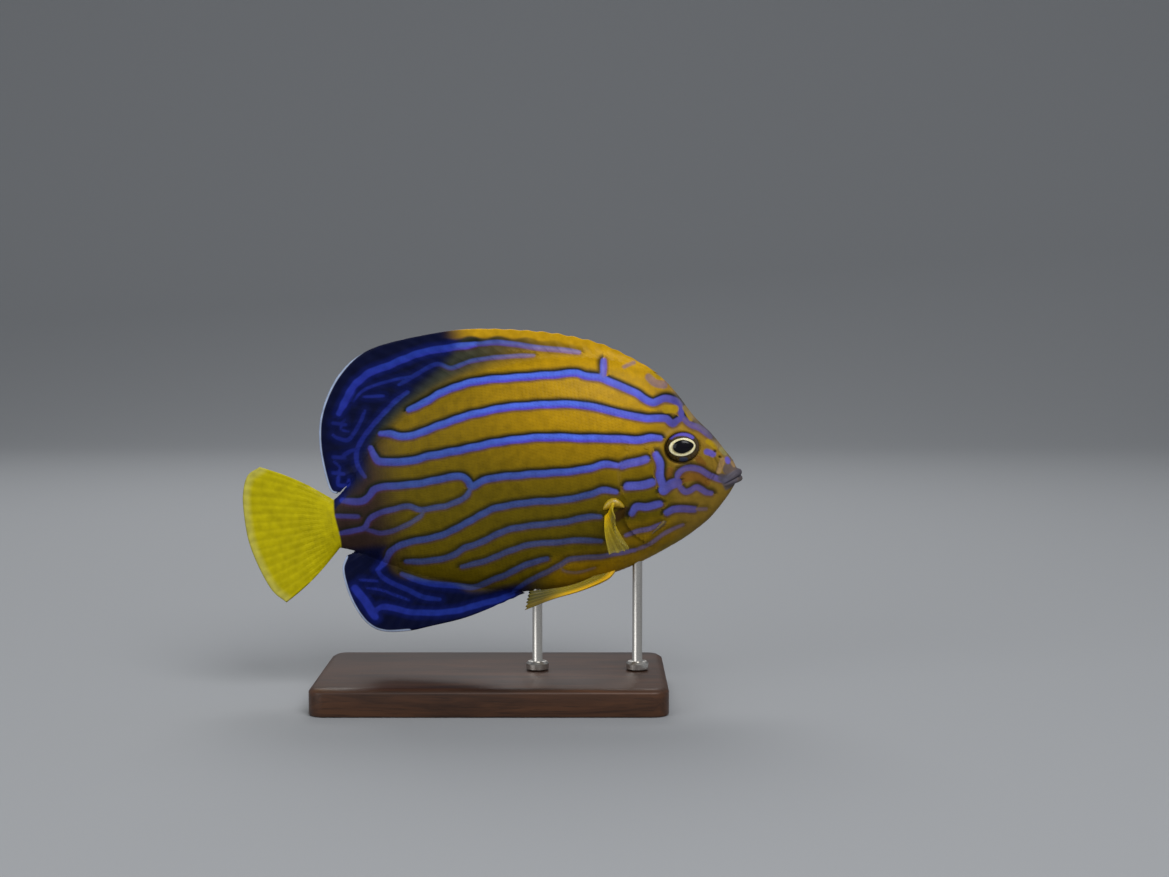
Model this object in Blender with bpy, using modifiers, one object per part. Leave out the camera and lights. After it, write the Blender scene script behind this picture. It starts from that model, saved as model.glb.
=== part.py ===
"""A bluestriped angelfish (Chaetodontoplus septentrionalis), 150 mm long, held on a plain display stand.

The fish is drawn in its own frame, in millimetres: x runs forward to the snout, y to its left side and
z up, from a point in the middle of the flank. An empty turns that frame nose up and sets it over the
stand. The body is one smooth form, parted by thin cuts at the gill cover and at the tail stalk. Each fin
is a thin sheet that follows its own rays, with its root sunk in the body and then cut clear of it.
"""

import math

import bmesh
import bpy
import numpy as np
from mathutils import Matrix, Vector

MM = 0.001
GAP = 0.3  # kept between pieces that touch
PITCH = 7.0  # degrees nose up
FISH_FORWARD = 14.1  # sets the middle of the whole length over the middle of the base
FISH_UP = 61.0  # height of the fish frame's origin over the floor

# The body without its fins, as (x, z) from the snout to the tail stalk.
BACK_LINE = (
    (59.9, -1.2), (59.1, 2.6), (56.9, 6.5), (53.3, 12.3), (48.8, 18.1), (44.4, 25.6),
    (39.8, 31.4), (34.0, 35.0), (24.0, 38.8), (10.0, 41.0), (-5.0, 40.5), (-20.0, 37.0),
    (-35.0, 30.0), (-48.0, 20.0), (-56.0, 10.8), (-61.5, 6.2), (-66.0, 5.6),
)
BELLY_LINE = (
    (59.9, -1.6), (58.0, -4.6), (55.1, -8.1), (50.3, -12.8), (45.6, -15.9), (38.9, -19.4),
    (27.7, -23.8), (16.8, -26.7), (5.0, -28.8), (-8.0, -28.4), (-20.0, -26.2), (-35.0, -21.2),
    (-48.0, -15.0), (-56.0, -10.6), (-61.5, -8.6), (-66.0, -8.2),
)
SNOUT_X = 59.9
TAIL_END_X = -65.0
HALF_WIDTHS = (
    (59.9, 1.7), (58.0, 2.6), (55.0, 3.6), (50.0, 5.3), (45.0, 6.9), (40.0, 8.2), (34.0, 9.6),
    (27.0, 10.8), (20.0, 11.5), (10.0, 11.6), (0.0, 11.0), (-10.0, 10.0), (-20.0, 8.8),
    (-30.0, 7.4), (-40.0, 5.9), (-50.0, 4.3), (-57.0, 3.2), (-61.5, 2.5), (-66.0, 2.4),
)
WIDEST_Z = (
    (59.9, -1.4), (45.0, 0.0), (20.0, 2.0), (0.0, 2.0), (-40.0, 0.0), (-61.5, -1.2), (-66.0, -1.2),
)
FLATNESS = (  # how the flank curves from its widest height to the back and belly
    (59.9, 0.9), (50.0, 1.05), (35.0, 1.2), (10.0, 1.3), (-30.0, 1.3), (-61.5, 1.0), (-66.0, 1.0),
)

# The free edge of the gill cover, from the nape to the throat, and the edge of the cheek plate ahead of it.
GILL_EDGE = (
    (43.0, 50.0), (39.6, 33.5), (33.5, 22.0), (28.1, 10.8), (24.9, 6.7), (24.3, 2.3), (24.6, -1.2),
    (25.4, -4.0), (24.3, -9.0), (27.2, -14.6), (33.2, -19.2), (38.0, -24.0), (44.0, -40.0),
)
CHEEK_EDGE = (
    (33.0, 14.0), (34.2, 8.3), (34.9, 2.7), (35.3, -2.0), (36.3, -6.0), (36.6, -10.0), (34.5, -15.5),
)
GILL_STEP = 0.55  # how proud of the flank the gill cover's edge stands
GILL_STEP_FADE = 7.0
CHEEK_STEP = 0.35
CHEEK_STEP_FADE = 4.5
PLATES_TOP = (8.0, 14.0)  # both steps fade out between these heights
PLATES_BOTTOM = (-15.0, -20.0)
CHEEK_PLATE_Z = (-15.0, 13.0)
GILL_CUT = 0.4  # along the fish, which leaves the gap across the slanting edge
STALK_CUT_X = -55.4
TAIL_ROOT_X = -61.5

EYE = (43.8, 9.4)
EYE_RADII = (5.3, 3.4, 4.6)  # along, across and up
EYE_INSET = 2.0  # depth of the eyeball's centre under the skin
NOSTRILS = ((54.9, 5.0), (53.7, 6.9))
NOSTRIL_RADIUS = 0.45
NOSTRIL_DEPTH = 0.8
NOSTRIL_PROUD = 1.0  # how far its cutter stands out of the skin
NOSTRIL_RISE = 0.6  # how much higher the cutter's outer end is
MOUTH_CORNER = Vector((55.4, 0.0, -3.0))
MOUTH_FRONT = Vector((61.1, 0.0, -0.9))
MOUTH_HALF_WIDTH = 2.9
LIP_RADII = (1.15, 0.95)  # upper, lower
LIP_SPREAD = 0.95  # from the mouth line to the middle of each lip
MOUTH_SLIT = (6.0, 9.0, 0.35)  # along the mouth line, across and up
MOUTH_SLIT_AHEAD = 5.6  # from the mouth's corner to the slit's middle
CHEEK_SPINE_ROOT = (37.0, -11.0)
CHEEK_SPINE_TIP = (31.9, -14.8)
CHEEK_SPINE_RADII = (0.9, 0.15)
CHEEK_SPINE_SUNK = 1.2
CHEEK_SPINE_PROUD = 0.75

# Fin margins as (x, z), from the first ray to the last.
DORSAL_BASE_X = (38.8, -56.3)
DORSAL_MARGIN = (
    (39.9, 31.6), (35.0, 35.7), (25.2, 42.2), (15.1, 46.3), (4.9, 49.0), (-9.5, 51.4), (-22.3, 52.1),
    (-39.4, 50.7), (-48.3, 48.1), (-54.6, 43.6), (-59.1, 37.7), (-62.3, 30.7), (-63.5, 23.4),
    (-63.3, 16.0), (-62.2, 9.2), (-60.2, 7.7),
)
DORSAL_RAYS = 31
DORSAL_SPINE_SHARE = 0.42  # share of the base that carries spines
ANAL_BASE_X = (-8.6, -56.0)
ANAL_MARGIN = (
    (-8.0, -28.9), (-15.6, -31.2), (-26.6, -34.1), (-37.3, -35.4), (-44.0, -36.0), (-51.1, -35.4),
    (-55.6, -33.0), (-58.9, -28.0), (-61.0, -21.4), (-61.6, -15.0), (-60.0, -11.4),
)
ANAL_RAYS = 21
ANAL_SPINE_SHARE = 0.16
MEDIAN_ROOT_SUNK = 2.2
MEDIAN_ROOT_THICKNESS = 2.2
TAIL_ROOT_Z = (6.0, -8.4)
TAIL_ROOT_THICKNESS = 4.8
TAIL_MARGIN = (
    (-82.2, 18.6), (-86.2, 16.4), (-88.3, 11.0), (-88.8, 4.0), (-88.4, -3.6), (-86.4, -11.6),
    (-83.4, -18.9), (-79.6, -23.0),
)
TAIL_EDGE_BOW = 1.1
TAIL_RAYS = 17

PECTORAL_ROOT = ((22.4, -3.2), (19.4, -6.6))
PECTORAL_SUNK = 1.6
PECTORAL_RAYS = 16
PECTORAL_LENGTH = 15.6
PECTORAL_DROP = (12.0, 44.0)  # degrees below the horizontal, first ray to last
PECTORAL_LEAN = (-0.05, 0.26)  # forward, as a share of a ray's length: the end rays, and the most
PECTORAL_BOW = 0.9  # how far the rays' middles are bent back
PECTORAL_ROOT_THICKNESS = 1.2
PELVIC_FIRST_RAY = (  # from its root in the belly to its tip, as (x, y, z)
    (20.2, 1.2, -25.0), (17.2, 2.8, -27.4), (9.0, 5.0, -29.5), (0.3, 6.4, -30.8), (-8.4, 7.4, -32.9),
)
PELVIC_LAST_RAY = (
    (15.4, 1.2, -25.4), (11.5, 2.8, -26.7), (5.5, 4.2, -27.8), (-1.0, 5.0, -27.9), (-6.4, 5.4, -27.7),
)
PELVIC_RAYS = 6
PELVIC_ROOT_THICKNESS = 1.6
WEB_THICKNESS = 0.5
RAY_TIP_THICKNESS = 0.85
SPINE_NOTCH = 0.14  # how far the web falls back between the first spine tips, as a share of their length

BASE_LENGTH = 104.0
BASE_WIDTH = 62.0
BASE_HEIGHT = 8.0
BASE_CORNER_RADIUS = 5.0
BASE_EDGE_RADIUS = 1.2
ROD_RADIUS = 1.5
ROD_FEET_X = {"stand_rod_front": 43.5, "stand_rod_rear": 13.4}
COLLAR_RADIUS = 3.4
COLLAR_HEIGHT = 2.4
ROD_REACH = 60.0  # cut back to the belly

COLOURS = {
    "head": (0.42, 0.24, 0.05), "trunk": (0.45, 0.29, 0.04), "tail_stalk": (0.20, 0.13, 0.06),
    "dorsal_fin": (0.02, 0.03, 0.25), "anal_fin": (0.02, 0.03, 0.25), "caudal_fin": (0.62, 0.56, 0.02),
    "pectoral_fin": (0.65, 0.52, 0.02), "pelvic_fin": (0.60, 0.35, 0.02), "eye": (0.02, 0.02, 0.04),
    "stand_base": (0.09, 0.05, 0.03), "stand_rod": (0.60, 0.55, 0.45),
}


def empty_scene():
    for item in list(bpy.data.objects):
        bpy.data.objects.remove(item)


def smooth_line(points, steps=10):
    """The points joined by a Catmull-Rom curve, as an array."""
    knots = np.array(points, float)
    padded = np.vstack([2 * knots[0] - knots[1], knots, 2 * knots[-1] - knots[-2]])
    t = np.linspace(0, 1, steps, endpoint=False)[:, None]
    spans = []
    for a, b, c, d in zip(padded, padded[1:], padded[2:], padded[3:]):
        spans.append(0.5 * (2 * b + (c - a) * t + (2 * a - 5 * b + 4 * c - d) * t**2
                            + (3 * b - a - 3 * c + d) * t**3))
    return np.vstack([*spans, knots[-1]])


def over(points, axis=0):
    """A smooth curve through 2D points, as a function of one of their axes."""
    line = smooth_line(points)
    line = line[np.argsort(line[:, axis])]
    return lambda at: np.interp(at, line[:, axis], line[:, 1 - axis])


def along(points):
    """A smooth curve through points, as a function of the share of its length."""
    line = smooth_line(points)
    steps = np.linalg.norm(np.diff(line, axis=0), axis=1)
    share = np.concatenate([[0], np.cumsum(steps)]) / steps.sum()
    return lambda at: np.array([np.interp(at, share, part) for part in line.T])


back_z = over(BACK_LINE)
belly_z = over(BELLY_LINE)
half_width = over(HALF_WIDTHS)
widest_z = over(WIDEST_Z)
flatness = over(FLATNESS)
gill_x = over(GILL_EDGE, axis=1)
cheek_x = over(CHEEK_EDGE, axis=1)


def flank_y(x, z):
    """Half the body's thickness at a point of the side view."""
    middle = widest_z(x)
    reach = back_z(x) - middle if z > middle else middle - belly_z(x)
    up = min(1.0, abs(z - middle) / reach)
    return half_width(x) * (1 - up * up) ** (flatness(x) / 2)


def plate_steps(x, z):
    """How far the gill cover and the cheek plate stand proud of the plain flank."""
    lift = 0.0
    if PLATES_BOTTOM[1] < z < PLATES_TOP[1]:
        fade = min(1.0, (PLATES_TOP[1] - z) / (PLATES_TOP[1] - PLATES_TOP[0]))
        fade *= min(1.0, (z - PLATES_BOTTOM[1]) / (PLATES_BOTTOM[0] - PLATES_BOTTOM[1]))
        lift += fade * GILL_STEP * math.exp(-abs(x - gill_x(z)) / GILL_STEP_FADE)
        if CHEEK_PLATE_Z[0] < z < CHEEK_PLATE_Z[1] and x > cheek_x(z):
            lift += fade * CHEEK_STEP * math.exp((cheek_x(z) - x) / CHEEK_STEP_FADE)
    return lift


def new_object(name, bm, colour=None, parent=None):
    """A mesh object from millimetres, in the scene's collection or, without a colour, among the helpers."""
    bmesh.ops.scale(bm, vec=(MM, MM, MM), verts=bm.verts)
    bmesh.ops.recalc_face_normals(bm, faces=bm.faces)
    mesh = bpy.data.meshes.new(name)
    bm.to_mesh(mesh)
    bm.free()
    made = bpy.data.objects.new(name, mesh)
    made.parent = parent
    if colour is None:
        helpers.objects.link(made)
        made.hide_render = True
        made.display_type = "WIRE"
    else:
        fish.objects.link(made)
        finish(made, name, colour)
    return made


def finish(made, name, colour, roughness=0.45, metallic=0.0):
    coat = bpy.data.materials.new(name)
    coat.use_nodes = True
    shader = coat.node_tree.nodes["Principled BSDF"]
    shader.inputs["Base Color"].default_value = (*colour, 1)
    shader.inputs["Roughness"].default_value = roughness
    shader.inputs["Metallic"].default_value = metallic
    made.data.materials.clear()
    made.data.materials.append(coat)


def boolean(made, operation, other=None, group=None):
    cut = made.modifiers.new(operation.lower(), "BOOLEAN")
    cut.operation = operation
    cut.solver = "EXACT"
    if group:
        cut.operand_type = "COLLECTION"
        cut.collection = group
    else:
        cut.object = other


def settle(made):
    """Applies the modifiers and keeps the largest closed surface."""
    bpy.context.view_layer.update()
    graph = bpy.context.evaluated_depsgraph_get()
    mesh = bpy.data.meshes.new_from_object(made.evaluated_get(graph))
    made.modifiers.clear()
    bm = bmesh.new()
    bm.from_mesh(mesh)
    bm.normal_update()
    left = set(bm.faces)
    surfaces = []
    while left:
        surface = []
        reached = [left.pop()]
        while reached:
            face = reached.pop()
            surface.append(face)
            for edge in face.edges:
                for other in edge.link_faces:
                    if other in left:
                        left.discard(other)
                        reached.append(other)
        surfaces.append(surface)
    surfaces.sort(key=lambda faces: sum(face.calc_area() for face in faces))
    scraps = [face for surface in surfaces[:-1] for face in surface]
    bmesh.ops.delete(bm, geom=scraps, context="FACES")
    bm.to_mesh(mesh)
    bm.free()
    made.data = mesh


def remove(*items):
    for item in items:
        bpy.data.objects.remove(item)


def body(name, rings, segments, crowding, parent, colour=None, margin=0.0, plates=False):
    """The whole body from a sphere whose poles are the snout and the tail stalk's end."""
    bm = bmesh.new()
    bmesh.ops.create_uvsphere(bm, u_segments=segments, v_segments=rings, radius=1)
    for vert in bm.verts:
        share = math.acos(max(-1.0, min(1.0, vert.co.z))) / math.pi
        turn = math.atan2(vert.co.y, vert.co.x)
        x = SNOUT_X - (SNOUT_X - TAIL_END_X) * share**crowding
        middle = widest_z(x)
        if not 1e-4 < share < 1 - 1e-4:
            vert.co = (x, 0, middle)
            continue
        up = math.cos(turn)
        z = middle + up * ((back_z(x) - middle) if up > 0 else (middle - belly_z(x)))
        y = half_width(x) * abs(math.sin(turn)) ** flatness(x)
        if plates and y > 1:
            y += plate_steps(x, z)
        vert.co = (x, math.copysign(y, math.sin(turn)), z)
    bm.normal_update()
    bmesh.ops.recalc_face_normals(bm, faces=bm.faces)
    for vert in bm.verts:
        vert.co += vert.normal * margin
    return new_object(name, bm, colour, parent)


def slab(name, outline, parent, half_depth=40.0):
    """A flat outline in the side view, extruded to both sides."""
    bm = bmesh.new()
    face = bm.faces.new([bm.verts.new((x, -half_depth, z)) for x, z in outline])
    grown = bmesh.ops.extrude_face_region(bm, geom=[face])["geom"]
    moved = [item for item in grown if isinstance(item, bmesh.types.BMVert)]
    bmesh.ops.translate(bm, vec=(0, 2 * half_depth, 0), verts=moved)
    return new_object(name, bm, parent=parent)


def ellipsoid(name, centre, radii, parent, colour=None, margin=0.0, segments=16):
    bm = bmesh.new()
    bmesh.ops.create_uvsphere(bm, u_segments=segments, v_segments=segments * 3 // 5, radius=1)
    size = [radius + margin for radius in radii]
    bmesh.ops.transform(bm, matrix=Matrix.LocRotScale(Vector(centre), None, Vector(size)), verts=bm.verts)
    return new_object(name, bm, colour, parent)


def spike(name, root, tip, radii, parent, sides=8):
    """A cone from one point to another."""
    root, tip = Vector(root), Vector(tip)
    turn = (tip - root).to_track_quat("Z", "Y")
    bm = bmesh.new()
    bmesh.ops.create_cone(bm, cap_ends=True, segments=sides, radius1=radii[0], radius2=radii[1],
                          depth=(tip - root).length)
    bmesh.ops.transform(bm, matrix=Matrix.LocRotScale((root + tip) / 2, turn, None), verts=bm.verts)
    return new_object(name, bm, parent=parent)


def tube(name, points, radii, parent):
    """A round tube through points, with its own radius at each, as a closed mesh."""
    curve = bpy.data.curves.new(name, "CURVE")
    curve.dimensions = "3D"
    curve.bevel_depth = MM
    curve.bevel_resolution = 2
    curve.use_fill_caps = True
    spline = curve.splines.new("POLY")
    spline.points.add(len(points) - 1)
    for knot, point, radius in zip(spline.points, points, radii):
        knot.co = (*(Vector(point) * MM), 1)
        knot.radius = radius
    guide = bpy.data.objects.new(name + "_guide", curve)
    helpers.objects.link(guide)
    bpy.context.view_layer.update()
    graph = bpy.context.evaluated_depsgraph_get()
    mesh = bpy.data.meshes.new_from_object(guide.evaluated_get(graph))
    bm = bmesh.new()
    bm.from_mesh(mesh)
    bmesh.ops.remove_doubles(bm, verts=bm.verts, dist=1e-6)
    bmesh.ops.scale(bm, vec=(1 / MM, 1 / MM, 1 / MM), verts=bm.verts)
    remove(guide)
    bpy.data.meshes.remove(mesh)
    return new_object(name, bm, parent=parent)


def lip(name, side, parent, steps=12):
    """A lip that bends round the snout between the corners of the mouth, thinner at the corners."""
    thickest = LIP_RADII[0] if side > 0 else LIP_RADII[1]
    whole = MOUTH_FRONT - MOUTH_CORNER
    reach = whole * (1 - thickest / whole.length)
    points, radii = [], []
    for step in range(steps + 1):
        turn = math.pi * (step / steps - 0.5)
        ahead = math.cos(turn)
        across = Vector((0, MOUTH_HALF_WIDTH * math.sin(turn), 0))
        lift = Vector((0, 0, side * LIP_SPREAD * (0.4 + 0.6 * ahead)))
        points.append(MOUTH_CORNER + reach * ahead + across + lift)
        radii.append(thickest * (0.5 + 0.5 * ahead**0.5))
    return tube(name, points, radii, parent)


def sheet(name, columns, rows, place, thickness, colour, parent):
    """A thin closed fin: a grid set on its place, then thickened both ways, by its own amount everywhere."""
    bm = bmesh.new()
    bmesh.ops.create_grid(bm, x_segments=columns, y_segments=rows, size=0.5)
    shares = [(vert.co.x + 0.5, vert.co.y + 0.5) for vert in bm.verts]
    for vert, (across, out) in zip(bm.verts, shares):
        vert.co = place(across, out)
    bmesh.ops.triangulate(bm, faces=bm.faces)
    made = new_object(name, bm, colour, parent)
    most = max(thickness(*share) for share in shares)
    weights = made.vertex_groups.new(name="thickness")
    for index, share in enumerate(shares):
        weights.add([index], thickness(*share) / most, "REPLACE")
    solid = made.modifiers.new("thickness", "SOLIDIFY")
    solid.thickness = most * MM
    solid.offset = 0
    solid.vertex_group = weights.name
    settle(made)
    return made


def ray_share(across, rays):
    """1 on a fin ray and 0 half way between two, with a ray along each end of the fin."""
    return math.cos(math.pi * across * (rays - 1)) ** 2


def fin_thickness(root, rays):
    """Thickness from the root out to the margin, on the rays and on the web between them."""

    def thickness(across, out):
        web = WEB_THICKNESS + (0.8 * root - WEB_THICKNESS) * (1 - out) ** 2
        ray = RAY_TIP_THICKNESS + (root - RAY_TIP_THICKNESS) * (1 - out) ** 1.5
        return web + (ray - web) * ray_share(across, rays)

    return thickness


def median_fin(name, base_x, ridge_z, sunk, margin, rays, spine_share, parent, rows=6):
    """A fin along the middle of the back or belly: spines with notched webs, then soft rays."""
    edge = along(margin)

    def place(across, out):
        x = base_x[0] + (base_x[1] - base_x[0]) * across
        root = np.array([x, ridge_z(x) - sunk])
        if across < spine_share:
            out *= 1 - SPINE_NOTCH * (1 - across / spine_share) * (1 - ray_share(across, rays))
        point = root + (edge(across) - root) * out
        return point[0], 0, point[1]

    thickness = fin_thickness(MEDIAN_ROOT_THICKNESS, rays)
    return sheet(name, 2 * (rays - 1), rows, place, thickness, COLOURS[name], parent)


def caudal_fin(parent, rows=7):
    edge = along(TAIL_MARGIN)

    def place(across, out):
        root = np.array([TAIL_ROOT_X - GAP, TAIL_ROOT_Z[0] + (TAIL_ROOT_Z[1] - TAIL_ROOT_Z[0]) * across])
        point = root + (edge(across) - root) * out
        point[1] += (1 - 2 * across) * TAIL_EDGE_BOW * math.sin(math.pi * out)
        return point[0], 0, point[1]

    def thickness(across, out):
        root = TAIL_ROOT_THICKNESS * math.sqrt(max(0.0, 1 - (2 * across - 1) ** 2))
        web = WEB_THICKNESS + max(0.0, root - WEB_THICKNESS) * (1 - out) ** 3
        ridge = (RAY_TIP_THICKNESS - WEB_THICKNESS) * min(1.0, 4 * out)
        return web + ridge * ray_share(across, TAIL_RAYS)

    return sheet("caudal_fin", 2 * (TAIL_RAYS - 1), rows, place, thickness, COLOURS["caudal_fin"], parent)


def pectoral_fin(name, side, parent, rows=6):
    first, last = (np.array(point) for point in PECTORAL_ROOT)

    def place(across, out):
        x, z = first + (last - first) * across
        root = np.array([x, flank_y(x, z) - PECTORAL_SUNK, z])
        drop = math.radians(PECTORAL_DROP[0] + (PECTORAL_DROP[1] - PECTORAL_DROP[0]) * math.sqrt(across))
        lean = PECTORAL_LEAN[0] + (PECTORAL_LEAN[1] - PECTORAL_LEAN[0]) * math.sin(math.pi * across**2.6)
        reach = PECTORAL_SUNK + PECTORAL_LENGTH * (0.80 + 0.20 * math.sin(math.pi * (0.15 + 0.65 * across)))
        point = root + out * reach * np.array([lean, math.cos(drop), -math.sin(drop)])
        point[0] -= PECTORAL_BOW * math.sin(math.pi * out**0.8)
        return point[0], side * point[1], point[2]

    thickness = fin_thickness(PECTORAL_ROOT_THICKNESS, PECTORAL_RAYS)
    return sheet(name, 2 * (PECTORAL_RAYS - 1), rows, place, thickness, COLOURS["pectoral_fin"], parent)


def pelvic_fin(name, side, parent, rows=9):
    first, last = along(PELVIC_FIRST_RAY), along(PELVIC_LAST_RAY)

    def place(across, out):
        point = first(out) * (1 - across) + last(out) * across
        return point[0], side * point[1], point[2]

    thickness = fin_thickness(PELVIC_ROOT_THICKNESS, PELVIC_RAYS)
    return sheet(name, 2 * (PELVIC_RAYS - 1), rows, place, thickness, COLOURS["pelvic_fin"], parent)


def build_body(pose):
    """Head, trunk and tail stalk, parted by thin cuts."""
    edge = smooth_line(GILL_EDGE, 5)
    far = 60
    ahead = [(x + GILL_CUT / 2, z) for x, z in edge] + [(SNOUT_X + far, -far), (SNOUT_X + far, far)]
    behind = [(x - GILL_CUT / 2, z) for x, z in edge]
    behind += [(STALK_CUT_X + GAP / 2, -far), (STALK_CUT_X + GAP / 2, far)]
    stalk_front = STALK_CUT_X - GAP / 2
    stalk = [(stalk_front, far), (stalk_front, -far), (TAIL_ROOT_X, -far), (TAIL_ROOT_X, far)]
    head = body("head", 76, 40, 1.25, pose, COLOURS["head"], plates=True)
    trunk = body("trunk", 40, 36, 1.2, pose, COLOURS["trunk"])
    tail_stalk = body("tail_stalk", 40, 36, 1.2, pose, COLOURS["tail_stalk"])
    for piece, outline in ((head, ahead), (trunk, behind), (tail_stalk, stalk)):
        cutter = slab(piece.name + "_range", outline, pose)
        boolean(piece, "INTERSECT", cutter)
        settle(piece)
        remove(cutter)
    return head


def build_face(head, pose):
    """Lips, cheek spines, eye sockets, nostrils and the mouth line."""
    added = bpy.data.collections.new("face")
    bpy.context.scene.collection.children.link(added)
    pieces = [lip("lip_upper", 1, pose), lip("lip_lower", -1, pose)]
    cuts = []
    for side in (1, -1):
        ends = []
        for (x, z), proud in ((CHEEK_SPINE_ROOT, -CHEEK_SPINE_SUNK), (CHEEK_SPINE_TIP, CHEEK_SPINE_PROUD)):
            ends.append((x, side * (flank_y(x, z) + plate_steps(x, z) + proud), z))
        pieces.append(spike("cheek_spine", *ends, CHEEK_SPINE_RADII, pose))
        cuts.append(ellipsoid("socket", eye_centre(side), EYE_RADII, pose, margin=GAP))
        for x, z in NOSTRILS:
            deep, proud = flank_y(x, z) - NOSTRIL_DEPTH, flank_y(x, z) + NOSTRIL_PROUD
            cuts.append(spike("nostril", (x, side * deep, z), (x, side * proud, z + NOSTRIL_RISE),
                              (NOSTRIL_RADIUS, NOSTRIL_RADIUS), pose))
    ahead = (MOUTH_FRONT - MOUTH_CORNER).normalized()
    slit = bmesh.new()
    bmesh.ops.create_cube(slit, size=1)
    turn = ahead.to_track_quat("X", "Z")
    place = Matrix.LocRotScale(MOUTH_CORNER + ahead * MOUTH_SLIT_AHEAD, turn, Vector(MOUTH_SLIT))
    bmesh.ops.transform(slit, matrix=place, verts=slit.verts)
    cuts.append(new_object("mouth_slit", slit, parent=pose))
    for piece in pieces:
        added.objects.link(piece)
    boolean(head, "UNION", group=added)
    settle(head)
    for cutter in cuts:
        boolean(head, "DIFFERENCE", cutter)
    settle(head)
    finish(head, "head", COLOURS["head"])
    remove(*pieces, *cuts)
    bpy.data.collections.remove(added)


def eye_centre(side):
    x, z = EYE
    return x, side * (flank_y(x, z) - EYE_INSET), z


def build_fins(pose, clear_body):
    fins = [
        median_fin("dorsal_fin", DORSAL_BASE_X, back_z, MEDIAN_ROOT_SUNK, DORSAL_MARGIN,
                   DORSAL_RAYS, DORSAL_SPINE_SHARE, pose),
        median_fin("anal_fin", ANAL_BASE_X, belly_z, -MEDIAN_ROOT_SUNK, ANAL_MARGIN,
                   ANAL_RAYS, ANAL_SPINE_SHARE, pose),
    ]
    for word, side in (("left", 1), ("right", -1)):
        fins.append(pectoral_fin(f"pectoral_fin_{word}", side, pose))
        fins.append(pelvic_fin(f"pelvic_fin_{word}", side, pose))
    for fin in fins:
        boolean(fin, "DIFFERENCE", clear_body)
        settle(fin)
    caudal_fin(pose)


def build_stand(clear_body):
    bpy.ops.mesh.primitive_cube_add(size=1, location=(0, 0, BASE_HEIGHT / 2 * MM))
    base = bpy.context.object
    base.name = "stand_base"
    base.data.transform(Matrix.Diagonal((BASE_LENGTH * MM, BASE_WIDTH * MM, BASE_HEIGHT * MM, 1)))
    base.users_collection[0].objects.unlink(base)
    fish.objects.link(base)
    finish(base, "stand_base", COLOURS["stand_base"], 0.35)
    corner_z = [vert.co.z for vert in base.data.vertices]
    upright = [edge for edge in base.data.edges
               if abs(corner_z[edge.vertices[0]] - corner_z[edge.vertices[1]]) > MM]
    weights = base.data.attributes.new("bevel_weight_edge", "FLOAT", "EDGE")
    for edge in upright:
        weights.data[edge.index].value = 1
    corners = base.modifiers.new("corners", "BEVEL")
    corners.limit_method = "WEIGHT"
    corners.width = BASE_CORNER_RADIUS * MM
    corners.segments = 6
    edges = base.modifiers.new("edges", "BEVEL")
    edges.limit_method = "ANGLE"
    edges.angle_limit = math.radians(60)
    edges.width = BASE_EDGE_RADIUS * MM
    edges.segments = 2
    for name, foot_x in ROD_FEET_X.items():
        foot = BASE_HEIGHT + GAP
        profile = ((ROD_RADIUS, ROD_REACH), (ROD_RADIUS, foot + COLLAR_HEIGHT),
                   (COLLAR_RADIUS - 0.6, foot + COLLAR_HEIGHT), (COLLAR_RADIUS, foot + COLLAR_HEIGHT - 0.6),
                   (COLLAR_RADIUS, foot))
        rod = turned(name, profile, (foot_x, 0), COLOURS["stand_rod"])
        boolean(rod, "DIFFERENCE", clear_body)
        settle(rod)
        finish(rod, name, COLOURS["stand_rod"], 0.25, 1.0)


def turned(name, profile, middle, colour, steps=16):
    """A profile of (radius, height) from top to bottom, turned about an upright axis."""
    bm = bmesh.new()
    outline = [(0, profile[0][1]), *profile, (0, profile[-1][1])]
    verts = [bm.verts.new((radius, 0, height)) for radius, height in outline]
    for first, second in zip(verts, verts[1:]):
        bm.edges.new((first, second))
    bmesh.ops.spin(bm, geom=bm.verts[:] + bm.edges[:], cent=(0, 0, 0), axis=(0, 0, 1),
                   angle=2 * math.pi, steps=steps)
    bmesh.ops.remove_doubles(bm, verts=bm.verts, dist=1e-4)
    bmesh.ops.translate(bm, vec=(*middle, 0), verts=bm.verts)
    return new_object(name, bm, colour)


empty_scene()
fish = bpy.data.collections.new("bluestriped_angelfish")
helpers = bpy.data.collections.new("cutters")
for collection in (fish, helpers):
    bpy.context.scene.collection.children.link(collection)
fish_pose = bpy.data.objects.new("fish_pose", None)
fish_pose.location = (FISH_FORWARD * MM, 0, FISH_UP * MM)
fish_pose.rotation_euler = (0, math.radians(-PITCH), 0)
fish.objects.link(fish_pose)

build_face(build_body(fish_pose), fish_pose)
for eye_name, eye_side in (("eye_left", 1), ("eye_right", -1)):
    ellipsoid(eye_name, eye_centre(eye_side), EYE_RADII, fish_pose, COLOURS["eye"])
clear_body = body("clear_body", 60, 44, 1.2, fish_pose, margin=GAP)
build_fins(fish_pose, clear_body)
build_stand(clear_body)
remove(clear_body)
for part in fish.objects:
    if part.type == "MESH":
        part.data.shade_smooth()
        part.data.set_sharp_from_angle(angle=math.radians(40))
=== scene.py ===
# %% [markdown]
# # A bluestriped angelfish, dressed
# A museum fish is a painted skin over a form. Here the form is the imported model, and this lesson makes
# what the eye meets: one skin from lips to tail fin, a coat of small scales, glass eyes, thin fins and
# the stand's wood and steel. Lengths are millimetres in the fish's own frame, where x runs forward to
# the snout, y to its left side and z up. One function turns them into metres in the model's frame.

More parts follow.
